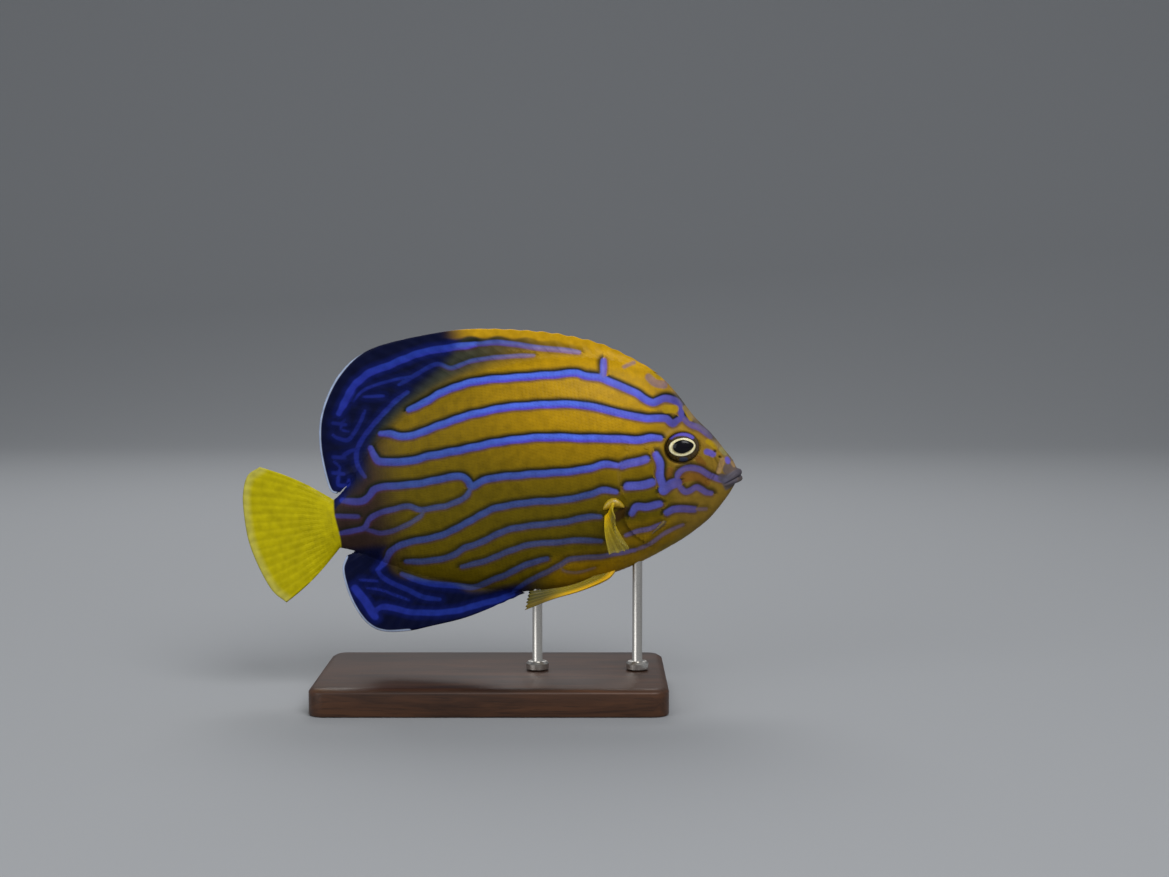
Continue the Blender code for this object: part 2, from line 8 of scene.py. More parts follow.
# %% Load the frame
import math
import bmesh
import bpy
import numpy as np
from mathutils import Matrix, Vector


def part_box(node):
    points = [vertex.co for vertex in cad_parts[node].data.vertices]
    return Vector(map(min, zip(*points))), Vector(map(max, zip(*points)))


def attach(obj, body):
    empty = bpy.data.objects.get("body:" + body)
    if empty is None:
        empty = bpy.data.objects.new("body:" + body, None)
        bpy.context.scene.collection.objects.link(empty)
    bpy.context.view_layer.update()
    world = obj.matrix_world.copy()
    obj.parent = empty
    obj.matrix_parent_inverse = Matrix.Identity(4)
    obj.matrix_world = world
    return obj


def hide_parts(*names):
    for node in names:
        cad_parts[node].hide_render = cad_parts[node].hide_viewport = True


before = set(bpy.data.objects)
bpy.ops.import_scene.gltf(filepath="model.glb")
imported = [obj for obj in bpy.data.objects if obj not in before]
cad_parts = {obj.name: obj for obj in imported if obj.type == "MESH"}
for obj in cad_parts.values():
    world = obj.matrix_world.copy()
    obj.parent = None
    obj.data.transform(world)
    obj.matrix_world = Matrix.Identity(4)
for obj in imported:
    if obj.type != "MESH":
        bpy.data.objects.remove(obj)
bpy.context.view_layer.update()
print("nodes", sorted(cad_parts))

# %% [markdown]
# The fish swims nose up by a few degrees over its stand. A mirror at its middle plane gives one side
# from the other, so the sides differ only in their markings.

# %% The fish's own frame
MM = 0.001
PITCH = math.radians(7.0)  # nose up
SIDES = (("left", 1), ("right", -1))  # each side's name, and which way its y runs
FISH_ORIGIN = Vector((14.1, 0.0, 61.0))  # over the middle of the stand's underside


def to_world(points):
    """Millimetres in the fish's frame as metres in the model's frame."""
    x, y, z = np.moveaxis(np.asarray(points, float), -1, 0)
    along_x = x * math.cos(PITCH) - z * math.sin(PITCH)
    along_z = x * math.sin(PITCH) + z * math.cos(PITCH)
    return (np.stack([along_x, y, along_z], -1) + np.array(FISH_ORIGIN)) * MM


print("snout at", to_world((59.9, 0, -1.4)).round(4))

# %% [markdown]
# The camera stands where the photographer did: square to the right side and a little above it. A long
# lens keeps the flank's proportions. Its shift sideways and down puts the fish where the photo has it.

# %% Camera
PHOTO_WIDTH = 1169
PHOTO_HEIGHT = 877
FISH_PIXEL = (539.5, 495.0)  # where the photo shows the origin of the fish's frame
PHOTO_SCALE = 0.3  # millimetres for each pixel at the fish
LENS = 60.0
SENSOR = 36.0
ELEVATION = math.radians(4.0)

distance = PHOTO_SCALE * PHOTO_WIDTH * LENS / SENSOR
ahead = Vector((0, math.cos(ELEVATION), -math.sin(ELEVATION)))
upward = Vector((0, math.sin(ELEVATION), math.cos(ELEVATION)))
right_by = (PHOTO_WIDTH / 2 - FISH_PIXEL[0]) * PHOTO_SCALE
up_by = (FISH_PIXEL[1] - PHOTO_HEIGHT / 2) * PHOTO_SCALE
eye_point = FISH_ORIGIN - ahead * distance + Vector((right_by, 0, 0)) + upward * up_by
bpy.ops.object.camera_add(location=eye_point * MM, rotation=(math.pi / 2 - ELEVATION, 0, 0))
camera = bpy.context.object
camera.data.lens = LENS
camera.data.sensor_width = SENSOR
bpy.context.scene.camera = camera
print("camera", [round(v, 3) for v in camera.location])

# %% [markdown]
# Colours are written as the sRGB values that a painter would read off a screen, and one function makes
# them linear for the shader. One more adds a node with its settings and links. Every pattern is a noise
# in object coordinates, with its grains in millimetres, so it has a real size on the piece. Paint goes on
# in layers, each through a mask that runs from nothing to full along a pattern or a field of the mesh.

# %% Colours and nodes
EVEN = "LINEAR"  # how a mask runs: evenly
SOFT = "SMOOTHSTEP"  # or softly at both ends


def linear(colour):
    """An sRGB hex colour as linear red, green, blue and alpha."""
    shares = [int(colour[at:at + 2], 16) / 255 for at in (1, 3, 5)]
    return (*[s / 12.92 if s <= 0.04045 else ((s + 0.055) / 1.055) ** 2.4 for s in shares], 1.0)


def add_node(tree, kind, inputs=(), **settings):
    """A node with its settings, and its inputs: values, outputs to link, hex colours or names of fields."""
    node = tree.nodes.new(kind)
    for name, value in settings.items():
        setattr(node, name, value)
    for name, value in dict(inputs).items():
        if isinstance(value, str) and value.startswith("#"):
            value = linear(value)
        elif isinstance(value, str):
            reader = tree.nodes.get(value) or add_node(tree, "ShaderNodeAttribute", name=value,
                                                       attribute_name=value)
            value = reader.outputs["Fac"]
        if isinstance(value, bpy.types.NodeSocket):
            tree.links.new(value, node.inputs[name])
        else:
            node.inputs[name].default_value = value
    return node


def grains(tree, size, detail=2.0, squeeze=None, **settings):
    """A pattern with grains of one size in metres. A squeeze under 1 draws them out along that axis."""
    place = add_node(tree, "ShaderNodeTexCoord").outputs["Object"]
    if squeeze:
        place = add_node(tree, "ShaderNodeMapping", {"Vector": place, "Scale": squeeze}).outputs[0]
    inputs = {"Vector": place, "Scale": 1 / size, "Detail": detail, **settings}
    return add_node(tree, "ShaderNodeTexNoise", inputs).outputs[0]


def mask(tree, strength, *steps):
    """A strength that holds where every step is full: what it follows, where it begins, is full, curve."""
    for value, begins, full, *curve in steps:
        inputs = {"Value": value, "From Min": begins, "From Max": full, "To Max": strength}
        held = add_node(tree, "ShaderNodeMapRange", inputs, interpolation_type=curve[0] if curve else EVEN)
        strength = held.outputs[0]
    return strength


def paint_over(tree, colour, layers):
    """Colour after each layer: what it follows, where that begins and is full, strength, paint, curve."""
    for value, begins, full, strength, paint, *curve in layers:
        share = mask(tree, strength, (value, begins, full, *(curve or (SOFT,))))
        mixed = add_node(tree, "ShaderNodeMix", {0: share, 6: colour, 7: paint}, data_type="RGBA")
        colour = mixed.outputs[2]
    return colour


def new_material(name, **values):
    """A Principled material with plain values on its sockets: (material, node tree, shader)."""
    material = bpy.data.materials.new(name)
    material.use_nodes = True
    shader = material.node_tree.nodes["Principled BSDF"]
    for socket, value in values.items():
        shader.inputs[socket.replace("_", " ")].default_value = value
    return material, material.node_tree, shader


print("ochre", [round(v, 3) for v in linear("#b07a08")])

# %% [markdown]
# The studio is a pale sheet that rises behind the model in one soft bend, so that no horizon shows.
# It is a plane whose far edge is extruded up, with the fold bevelled round. Three large soft lamps and
# a pale sky light it: a key over the camera's right shoulder, a fill and a light from behind.

# %% Studio


def new_primitive(add, name, **settings):
    """A primitive at its size and place, under its own name and selected alone."""
    bpy.ops.object.select_all(action="DESELECT")
    add(**settings)
    bpy.context.object.name = name
    return bpy.context.object


def select_only(item):
    """Selects one object and makes it the active one."""
    bpy.ops.object.select_all(action="DESELECT")
    item.select_set(True)
    bpy.context.view_layer.objects.active = item


def select_edges(item, wanted):
    """In edit mode, selects the edges whose two ends pass the test, and nothing else."""
    bpy.ops.object.mode_set(mode="EDIT")
    bpy.ops.mesh.select_mode(type="EDGE")
    bpy.ops.mesh.select_all(action="DESELECT")
    mesh = bmesh.from_edit_mesh(item.data)
    for edge in mesh.edges:
        if wanted(edge.verts[0].co, edge.verts[1].co):
            edge.select = True
    bmesh.update_edit_mesh(item.data)


SHEET_SIZE = 3.4
SHEET_RISE = 1.6
SHEET_FOLD = 0.7
SHEET_DROP = 0.0001  # the sheet lies this far under the stand
far_side = 0.4 * SHEET_SIZE
backdrop = new_primitive(bpy.ops.mesh.primitive_plane_add, "studio_sheet", size=SHEET_SIZE,
                         location=(0, 0, -SHEET_DROP))
bpy.ops.object.transform_apply(location=True)
select_edges(backdrop, lambda a, b: min(a.y, b.y) > far_side)
bpy.ops.mesh.extrude_region_move(TRANSFORM_OT_translate={"value": (0, 0, SHEET_RISE)})
select_edges(backdrop, lambda a, b: min(a.y, b.y) > far_side and max(a.z, b.z) < SHEET_RISE / 2)
bpy.ops.mesh.bevel(offset=SHEET_FOLD, segments=20)
bpy.ops.object.mode_set(mode="OBJECT")
bpy.ops.object.shade_smooth()
paper, tree, shader = new_material("matt_paper_sheet", Base_Color=linear("#8f9194"), Roughness=0.9)
backdrop.data.materials.append(paper)

LAMPS = (  # place, size and power
    ((0.35, -0.75, 0.85), 0.60, 9.0),
    ((-0.75, -0.70, 0.35), 0.70, 3.5),
    ((-0.10, 0.70, 0.80), 0.60, 5.0),
)
LAMPS_AIM = Vector((0.014, 0, 0.065))
SKY_STRENGTH = 0.4
for place, size, power in LAMPS:
    turned = (LAMPS_AIM - Vector(place)).to_track_quat("-Z", "Y").to_euler()
    bpy.ops.object.light_add(type="AREA", location=place, rotation=turned)
    lamp = bpy.context.object
    lamp.data.size = size
    lamp.data.energy = power
bpy.context.scene.world = bpy.data.worlds.new("pale_sky")
bpy.context.scene.world.use_nodes = True
sky = bpy.context.scene.world.node_tree.nodes["Background"]
sky.inputs["Color"].default_value = linear("#e9edf2")
sky.inputs["Strength"].default_value = SKY_STRENGTH
bpy.context.scene.view_settings.view_transform = "Standard"
print("lamps", len(LAMPS))

# %% [markdown]
# The fish's shape comes from a few drawn lines, the same ones as the solids follow. Each line is a
# handful of points that a smooth curve runs through, read back as a height for any place along it.

# %% Curves through drawn points


def smooth_line(points, steps=10):
    """The points joined by a Catmull-Rom curve, as an array."""
    knots = np.array(points, float)
    padded = np.vstack([2 * knots[0] - knots[1], knots, 2 * knots[-1] - knots[-2]])
    t = np.linspace(0, 1, steps, endpoint=False)[:, None]
    spans = []
    for a, b, c, d in zip(padded, padded[1:], padded[2:], padded[3:]):
        spans.append(0.5 * (2 * b + (c - a) * t + (2 * a - 5 * b + 4 * c - d) * t**2
                            + (3 * b - a - 3 * c + d) * t**3))
    return np.vstack([*spans, knots[-1]])


def over(points, axis=0):
    """A smooth curve through 2D points, as a function of one of their axes."""
    line = smooth_line(points)
    line = line[np.argsort(line[:, axis])]
    return lambda at: np.interp(at, line[:, axis], line[:, 1 - axis])


def along(points):
    """A smooth curve through points, as a function of the share of its length."""
    line = smooth_line(points)
    steps = np.linalg.norm(np.diff(line, axis=0), axis=1)
    share = np.concatenate([[0], np.cumsum(steps)]) / steps.sum()
    return lambda at: np.stack([np.interp(at, share, part) for part in line.T], -1)


def smooth_step(low, high, value):
    """0 below low, 1 above high and an S between them. With low over high it falls."""
    share = np.clip((np.asarray(value, float) - low) / (high - low), 0, 1)
    return share * share * (3 - 2 * share)


def within(value, low, low_full, high_full, high):
    """1 between two full values, and fading to 0 at low and high."""
    return smooth_step(low, low_full, value) * smooth_step(high, high_full, value)


def bell(value, middle, width):
    """1 at the middle, falling away on both sides of it."""
    return np.exp(-((value - middle) / width) ** 2)


print("half way up an S:", float(smooth_step(0, 1, 0.5)))

# %% The body's lines
BACK_LINE = (
    (59.9, -1.2), (59.1, 2.6), (56.9, 6.5), (53.3, 12.3), (48.8, 18.1), (44.4, 25.6),
    (39.8, 31.4), (34.0, 35.0), (24.0, 38.8), (10.0, 41.0), (-5.0, 40.5), (-20.0, 37.0),
    (-35.0, 30.0), (-48.0, 20.0), (-56.0, 10.8), (-61.5, 6.2), (-66.0, 5.6),
)
BELLY_LINE = (
    (59.9, -1.6), (58.0, -4.6), (55.1, -8.1), (50.3, -12.8), (45.6, -15.9), (38.9, -19.4),
    (27.7, -23.8), (16.8, -26.7), (5.0, -28.8), (-8.0, -28.4), (-20.0, -26.2), (-35.0, -21.2),
    (-48.0, -15.0), (-56.0, -10.6), (-61.5, -8.6), (-66.0, -8.2),
)
HALF_WIDTHS = (
    (59.9, 1.7), (58.0, 2.6), (55.0, 3.6), (50.0, 5.3), (45.0, 6.9), (40.0, 8.2), (34.0, 9.6),
    (27.0, 10.8), (20.0, 11.5), (10.0, 11.6), (0.0, 11.0), (-10.0, 10.0), (-20.0, 8.8),
    (-30.0, 7.4), (-40.0, 5.9), (-50.0, 4.3), (-57.0, 3.2), (-61.5, 2.5), (-66.0, 2.4),
)
WIDEST_Z = ((59.9, -1.4), (45, 0), (20, 2), (0, 2), (-40, 0), (-61.5, -1.2), (-66, -1.2))
FLATNESS = ((59.9, 0.9), (50, 1.05), (35, 1.2), (10, 1.3), (-30, 1.3), (-61.5, 1.0), (-66, 1.0))
SNOUT_X = 59.9
TAIL_ROOT_X = -61.5
COAT_DEPTH = 0.1  # the skin lies this far inside the solids, under the scales
COAT_FADE = (59, 50)  # but not at the lips: x where that begins and is full

back_z = over(BACK_LINE)
belly_z = over(BELLY_LINE)
half_width = over(HALF_WIDTHS)
widest_z = over(WIDEST_Z)
flatness = over(FLATNESS)


def flank_y(x, z):
    """Half the body's thickness at a point of the side view."""
    middle = widest_z(x)
    reach = np.where(z > middle, back_z(x) - middle, middle - belly_z(x))
    up = np.clip(np.abs(z - middle) / reach, 0, 1)
    return half_width(x) * (1 - up * up) ** (flatness(x) / 2)


print("deepest", round(float(back_z(5) - belly_z(5)), 1), "thickest", 2 * round(float(half_width(10)), 1))

# %% [markdown]
# The skin is a sheet of columns and rows. A column is a section through the body, and a row runs from
# the snout to the end of the tail fin. Columns are set by the fin rays: six or eight to each gap
# between two rays of the dorsal fin, which is also six to each gap of the anal fin, so that every ray
# of both fins starts on a column and can be raised as a ridge. Ahead of the fins they crowd together
# towards the lips. The rows carry the rays of the tail fin, seven to a gap.

# %% Columns and rows of the skin
DORSAL_BASE_X = (38.8, -56.3)
DORSAL_RAYS = 31
ANAL_RAYS = 21
TAIL_RAYS = 17
HEAD_COLUMNS = 66
HEAD_CROWDING = 1.6
STALK_COLUMNS = 10
TAIL_COLUMNS = 36
FRONT_GAP_COLUMNS = 6
REAR_GAP_COLUMNS = 8
ROWS = 7 * (TAIL_RAYS - 1)

middle_x = sum(DORSAL_BASE_X) / 2
half_gaps = (DORSAL_RAYS - 1) // 2
head_share = (np.arange(HEAD_COLUMNS) / HEAD_COLUMNS) ** HEAD_CROWDING
column_x = np.concatenate([
    SNOUT_X - (SNOUT_X - DORSAL_BASE_X[0]) * head_share,
    np.linspace(DORSAL_BASE_X[0], middle_x, half_gaps * FRONT_GAP_COLUMNS, endpoint=False),
    np.linspace(middle_x, DORSAL_BASE_X[1], half_gaps * REAR_GAP_COLUMNS, endpoint=False),
    np.linspace(DORSAL_BASE_X[1], TAIL_ROOT_X, STALK_COLUMNS + 1),
])
dorsal_first = HEAD_COLUMNS
dorsal_last = dorsal_first + half_gaps * (FRONT_GAP_COLUMNS + REAR_GAP_COLUMNS)
anal_first = dorsal_first + half_gaps * FRONT_GAP_COLUMNS
anal_last = dorsal_last
print(len(column_x), "columns on the body,", ROWS, "rows")

# %% [markdown]
# Each section is drawn from the belly to the back. Where a fin stands on the back or belly, the
# section doesn't close at the ridge but runs up into the fin's root, so body and fin are one surface.
# The rows are then spread evenly along each section.

# %% Sections of the body
FIN_ROOT = 1.1  # half the thickness of the dorsal and anal fins where they leave the body
FIN_ROOT_RAMP = 4.0  # length over which the root swells at either end of a fin
SECTION_POINTS = 500  # drawn on each section before its rows are spread


def root_thickness(x, first_x, last_x):
    """Half a fin's thickness at the ridge: nothing at the fin's ends and full between them."""
    inside = np.minimum(first_x - x, x - last_x)
    return FIN_ROOT * np.sqrt(smooth_step(0, FIN_ROOT_RAMP, inside))


def body_sections(xs, rows):
    """Points of the left half of the body, as an array of columns, rows and x, y, z."""
    turn = np.linspace(-math.pi / 2, math.pi / 2, SECTION_POINTS)
    grid = np.zeros((len(xs), rows + 1, 3))
    for column, x in enumerate(xs):
        up = np.sin(turn)
        middle = widest_z(x)
        z = middle + up * np.where(up > 0, back_z(x) - middle, middle - belly_z(x))
        y = half_width(x) * np.abs(np.cos(turn)) ** flatness(x)
        root = np.where(up > 0, root_thickness(x, *DORSAL_BASE_X),
                        root_thickness(x, middle_x, DORSAL_BASE_X[1]))
        y = (y**3 + root**3) ** (1 / 3)
        length = np.concatenate([[0], np.cumsum(np.hypot(np.diff(z), np.diff(y)))])
        at = np.linspace(0, length[-1], rows + 1)
        grid[column, :, 0] = x
        grid[column, :, 1] = np.interp(at, length, y)
        grid[column, :, 2] = np.interp(at, length, z)
        grid[column, [0, -1], 1] = root[[0, -1]]
    grid[0] = (SNOUT_X, 0, float(widest_z(SNOUT_X)))
    return grid


def normals_of(grid):
    """Outward normals of a grid of points of the left side."""
    normal = np.cross(np.gradient(grid, axis=1), np.gradient(grid, axis=0))
    normal /= np.maximum(np.linalg.norm(normal, axis=-1, keepdims=True), 1e-9)
    middle = normal[:, normal.shape[1] // 2, 1]
    return normal if middle.mean() > 0 else -normal


body = body_sections(column_x, ROWS)
body_normal = normals_of(body)
body_normal[0] = (1, 0, 0)
for border in (0, ROWS):
    closed = body[:, border, 1] == 0
    body_normal[closed, border, 1] = 0
body_normal /= np.maximum(np.linalg.norm(body_normal, axis=-1, keepdims=True), 1e-9)
print("body grid", body.shape)

# %% [markdown]
# The head gets the most care. Two bony plates stand proud of the flank: the gill cover, with its free
# edge behind, and the cheek plate ahead of it. Each is a step that fades forward from its edge. The
# eye sits in a socket with a low rim, two nostrils open ahead of it, and a crease parts the upper jaw.

# %% Relief of the head
GILL_EDGE = (
    (43.0, 50.0), (39.6, 33.5), (33.5, 22.0), (28.1, 10.8), (24.9, 6.7), (24.3, 2.3), (24.6, -1.2),
    (25.4, -4.0), (24.3, -9.0), (27.2, -14.6), (33.2, -19.2), (38.0, -24.0), (44.0, -40.0),
)
CHEEK_EDGE = (
    (33.0, 14.0), (34.2, 8.3), (34.9, 2.7), (35.3, -2.0), (36.3, -6.0), (36.6, -10.0), (34.5, -15.5),
)
GILL_STEP = 0.55
GILL_FADE = (7.0, 0.35)  # how far the step dies away, ahead of its edge and behind it
GILL_SPAN = (-20, -15, 8, 14)  # heights where it begins, is full, begins to fade and ends
CHEEK_STEP = 0.35
CHEEK_FADE = (4.5, 0.3)
CHEEK_SPAN = (-15, -12, 10, 13)
EYE = (43.8, 9.4)
EYE_RADII = (5.3, 3.4, 4.6)  # along, across and up
EYE_INSET = 2.0  # depth of the eyeball's centre under the skin
SOCKET_DEPTH = 2.4
SOCKET_WALL = (1.03, 0.80)  # where the socket begins and is full: the eye's outline is 1
SOCKET_RIM = 0.30
SOCKET_RIM_AT = (1.12, 0.11)  # the rim's top, and how wide it is
NOSTRILS = ((54.9, 5.0), (53.7, 6.9))
NOSTRIL_RADIUS = 0.4
NOSTRIL_DEPTH = 0.8
NOSTRIL_RIM = 0.12
NOSTRIL_RIM_AT = (0.75, 0.25)  # the rim's top, from the nostril's middle, and how wide it is
JAW_CREASE = ((53.3, 5.2), (53.9, 2.9), (52.9, 0.5), (51.4, -1.4))
JAW_CREASE_DEPTH = 0.28
JAW_CREASE_WIDTH = 0.40
JAW_BONE = (55.2, 2.4)  # middle of the upper jaw's swelling
JAW_BONE_SIZE = (1.3, 2.1)
JAW_BONE_RISE = 0.35
HEAD_REAR_X = 20  # no relief behind this
gill_x = over(GILL_EDGE, axis=1)
cheek_x = over(CHEEK_EDGE, axis=1)
jaw_line = smooth_line(JAW_CREASE, 5)


def line_distance(x, z, line):
    """Distance from a line of the side view, and the side: 1 is above a line that runs forward."""
    point = np.stack([x, z], -1).reshape(-1, 2)
    best = np.full(len(point), 1e9)
    side = np.zeros(len(point))
    for a, b in zip(line[:-1], line[1:]):
        step = b - a
        share = np.clip((point - a) @ step / (step @ step), 0, 1)
        away = point - a - share[:, None] * step
        far = np.hypot(*away.T)
        nearer = far < best
        best[nearer] = far[nearer]
        turned = step[0] * away[:, 1] - step[1] * away[:, 0]
        side[nearer] = np.sign(turned[nearer])
    return best.reshape(x.shape), side.reshape(x.shape)


def near_line(x, z, line):
    """Distance from a line."""
    return line_distance(x, z, line)[0]


def far_from(x, z, place):
    """Distance of points of the side view from one place."""
    return np.hypot(x - place[0], z - place[1])


def eye_share(x, z):
    """Distance from the eye's middle, where 1 is the outline of the eyeball."""
    return np.hypot((x - EYE[0]) / EYE_RADII[0], (z - EYE[1]) / EYE_RADII[2])


def free_edge(behind, fade):
    """The step at a plate's free edge, for distances behind the edge: 1 on it, less on both sides."""
    return np.exp(np.where(behind < 0, behind / fade[0], -behind / fade[1]))


def head_relief(x, z):
    """How far each point of the head stands out of the plain form."""
    gill = GILL_STEP * free_edge(gill_x(z) - x, GILL_FADE)
    cheek = CHEEK_STEP * free_edge(cheek_x(z) - x, CHEEK_FADE) * within(z, *CHEEK_SPAN)
    lift = (gill + cheek) * within(z, *GILL_SPAN)
    share = eye_share(x, z)
    lift -= SOCKET_DEPTH * smooth_step(*SOCKET_WALL, share)
    lift += SOCKET_RIM * bell(share, *SOCKET_RIM_AT)
    for place in NOSTRILS:
        far = far_from(x, z, place)
        lift += NOSTRIL_RIM * bell(far, *NOSTRIL_RIM_AT)
        lift -= NOSTRIL_DEPTH * np.exp(-(far / NOSTRIL_RADIUS) ** 4)
    lift -= JAW_CREASE_DEPTH * bell(near_line(x, z, jaw_line), 0, JAW_CREASE_WIDTH)
    lift += (JAW_BONE_RISE * bell(x, JAW_BONE[0], JAW_BONE_SIZE[0])
             * bell(z, JAW_BONE[1], JAW_BONE_SIZE[1]))
    return lift


relief = np.where(body[..., 0] > HEAD_REAR_X, head_relief(body[..., 0], body[..., 2]), 0)
relief -= COAT_DEPTH * smooth_step(*COAT_FADE, body[..., 0])
relief[:, [0, -1]] *= (body[:, [0, -1], 1] == 0)
print("relief from", round(float(relief.min()), 2), "to", round(float(relief.max()), 2))

# %% [markdown]
# An angelfish's mouth is small and its lips are thick. Each lip is a tube bent round the snout from
# corner to corner. The skin isn't cut for them: near the snout each point moves out along its normal
# until it reaches a smooth blend of the snout and the two tubes, so the lips grow out of the skin and
# the mouth's line is the crease between them.

# %% Lips
MOUTH_CORNER = (55.4, -3.0)
MOUTH_FRONT = (61.02, -0.9)
MOUTH_HALF_WIDTH = 2.9
LIP_RADII = (1.15, 0.95)  # upper, lower
LIP_SPREAD = 0.95  # from the mouth's line to the middle of each lip
LIP_BLEND = 0.6
LIP_REACH = 3.2  # furthest that the skin moves out
LIP_STEPS = 97  # places tried along that reach
MOUTH_REAR_X = 51


def lip_line(side, count=48):
    """Middle and radius of one lip's left half, from the front of the snout to the mouth's corner."""
    corner = np.array((MOUTH_CORNER[0], 0, MOUTH_CORNER[1]))
    front = np.array((MOUTH_FRONT[0], 0, MOUTH_FRONT[1]))
    thickest = LIP_RADII[0] if side > 0 else LIP_RADII[1]
    reach = (front - corner) * (1 - thickest / np.linalg.norm(front - corner))
    turn = np.linspace(0, math.pi / 2, count)
    forward = np.cos(turn)[:, None]
    across = np.stack([0 * turn, MOUTH_HALF_WIDTH * np.sin(turn), 0 * turn], -1)
    lift = side * LIP_SPREAD * (0.4 + 0.6 * forward) * np.array((0, 0, 1))
    return corner + reach * forward + across + lift, thickest * (0.5 + 0.5 * np.sqrt(forward[:, 0]))


def lip_growth(points, normals):
    """How far each point moves out to the blend of the snout with both lips."""
    steps = np.linspace(0, LIP_REACH, LIP_STEPS)
    places = points[:, None] + normals[:, None] * steps[:, None]
    to_lip = np.full(places.shape[:2], 1e9)
    for side in (1, -1):
        for middle, radius in zip(*lip_line(side)):
            to_lip = np.minimum(to_lip, np.linalg.norm(places - middle, axis=-1) - radius)
    share = np.clip(0.5 + 0.5 * (to_lip - steps) / LIP_BLEND, 0, 1)
    blend = to_lip + (steps - to_lip) * share - LIP_BLEND * share * (1 - share)
    inside = blend <= 0
    last = inside.shape[1] - 1 - np.argmax(inside[:, ::-1], axis=1)
    after = np.minimum(last + 1, len(steps) - 1)
    rows = np.arange(len(points))
    low, high = blend[rows, last], blend[rows, after]
    part = np.where(high > low, -low / np.maximum(high - low, 1e-9), 0)
    return steps[last] + np.clip(part, 0, 1) * (steps[1] - steps[0])


near_mouth = np.where(column_x > MOUTH_REAR_X)[0]
patch = body[near_mouth].reshape(-1, 3)
patch_normal = body_normal[near_mouth].reshape(-1, 3)
growth = lip_growth(patch, patch_normal).reshape(len(near_mouth), ROWS + 1)
relief[near_mouth] += growth
body += body_normal * relief[..., None]
for border in (0, ROWS):
    body[column_x > DORSAL_BASE_X[0], border, 1] = 0
body[0] = body[0].mean(0)
print("lips stand out by", round(float(growth.max()), 2))

# %% [markdown]
# A fin is skin stretched over rays. From the ridge of the back and belly the sheet goes on as rows
# that run out along the rays to the fin's margin, thick at the root and thin at the edge, with each ray a
# low ridge. The first rays are spines, with the skin notched between their tips. The tail fin carries
# the rows of the body on past the tail stalk in the same way.

# %% Fins of the middle line
DORSAL_MARGIN = (
    (39.9, 31.6), (35.0, 35.7), (25.2, 42.2), (15.1, 46.3), (4.9, 49.0), (-9.5, 51.4), (-22.3, 52.1),
    (-39.4, 50.7), (-48.3, 48.1), (-54.6, 43.6), (-59.1, 37.7), (-62.3, 30.7), (-63.5, 23.4),
    (-63.3, 16.0), (-62.2, 9.2), (-60.2, 7.7),
)
ANAL_MARGIN = (
    (-8.0, -28.9), (-15.6, -31.2), (-26.6, -34.1), (-37.3, -35.4), (-44.0, -36.0), (-51.1, -35.4),
    (-55.6, -33.0), (-58.9, -28.0), (-61.0, -21.4), (-61.6, -15.0), (-60.0, -11.4),
)
TAIL_MARGIN = (
    (-82.2, 18.6), (-86.2, 16.4), (-88.3, 11.0), (-88.8, 4.0), (-88.4, -3.6), (-86.4, -11.6),
    (-83.4, -18.9), (-79.6, -23.0),
)
DORSAL_SPINE_SHARE = 0.42  # share of the base that carries spines
ANAL_SPINE_SHARE = 0.16
SPINE_NOTCH = 0.14  # how far the skin falls back between the first spine tips, as a share of their length
TAIL_EDGE_BOW = 1.1  # how far the tail's upper and lower edges are bowed
WEB = 0.19  # half the thickness of the skin between two rays
RAY = 0.29  # half the thickness on a ray near the margin
THINNING = 2.5  # how fast a fin thins out from its root, as an exponent
TAIL_THINNING = 3
RIDGE_RAMP = 0.25  # share of a ray's length over which its ridge rises
TAIL_RIDGE_RAMP = 0.3
END_COLUMNS = 3  # columns over which the ends of a fin are rounded
TAIL_END_ROWS = 4
DORSAL_ROWS = 32
ANAL_ROWS = 26
LAST_ROW = 0.985  # share of a ray's length that the last row but one reaches


def ray_share(across, rays):
    """1 on a fin ray and 0 half way between two."""
    return np.cos(math.pi * across * (rays - 1)) ** 2


def outward_steps(count):
    """Shares of a ray's length for the rows of a fin, with a fine last row for a round margin."""
    return np.append(np.linspace(0, 1, count)[:-1] * LAST_ROW / (1 - 1 / (count - 1)), 1.0)


def rounded(share):
    """A quarter circle: 0 at 0 and 1 from 1 on."""
    share = np.clip(share, 0, 1)
    return np.sqrt(1 - (1 - share) ** 2)


def round_ends(count, lines):
    """Share of its thickness that each line of a fin keeps: the first and last few are rounded off."""
    place = np.arange(count)
    return rounded(np.minimum(place, count - 1 - place) / lines)


def half_thickness(at_root, on_ray, share, thinning, ridge_ramp):
    """Half a fin's thickness at a share of its rays' length."""
    web = WEB + (at_root - WEB) * (1 - share) ** thinning
    return web + (RAY - WEB) * on_ray * smooth_step(0, ridge_ramp, share)


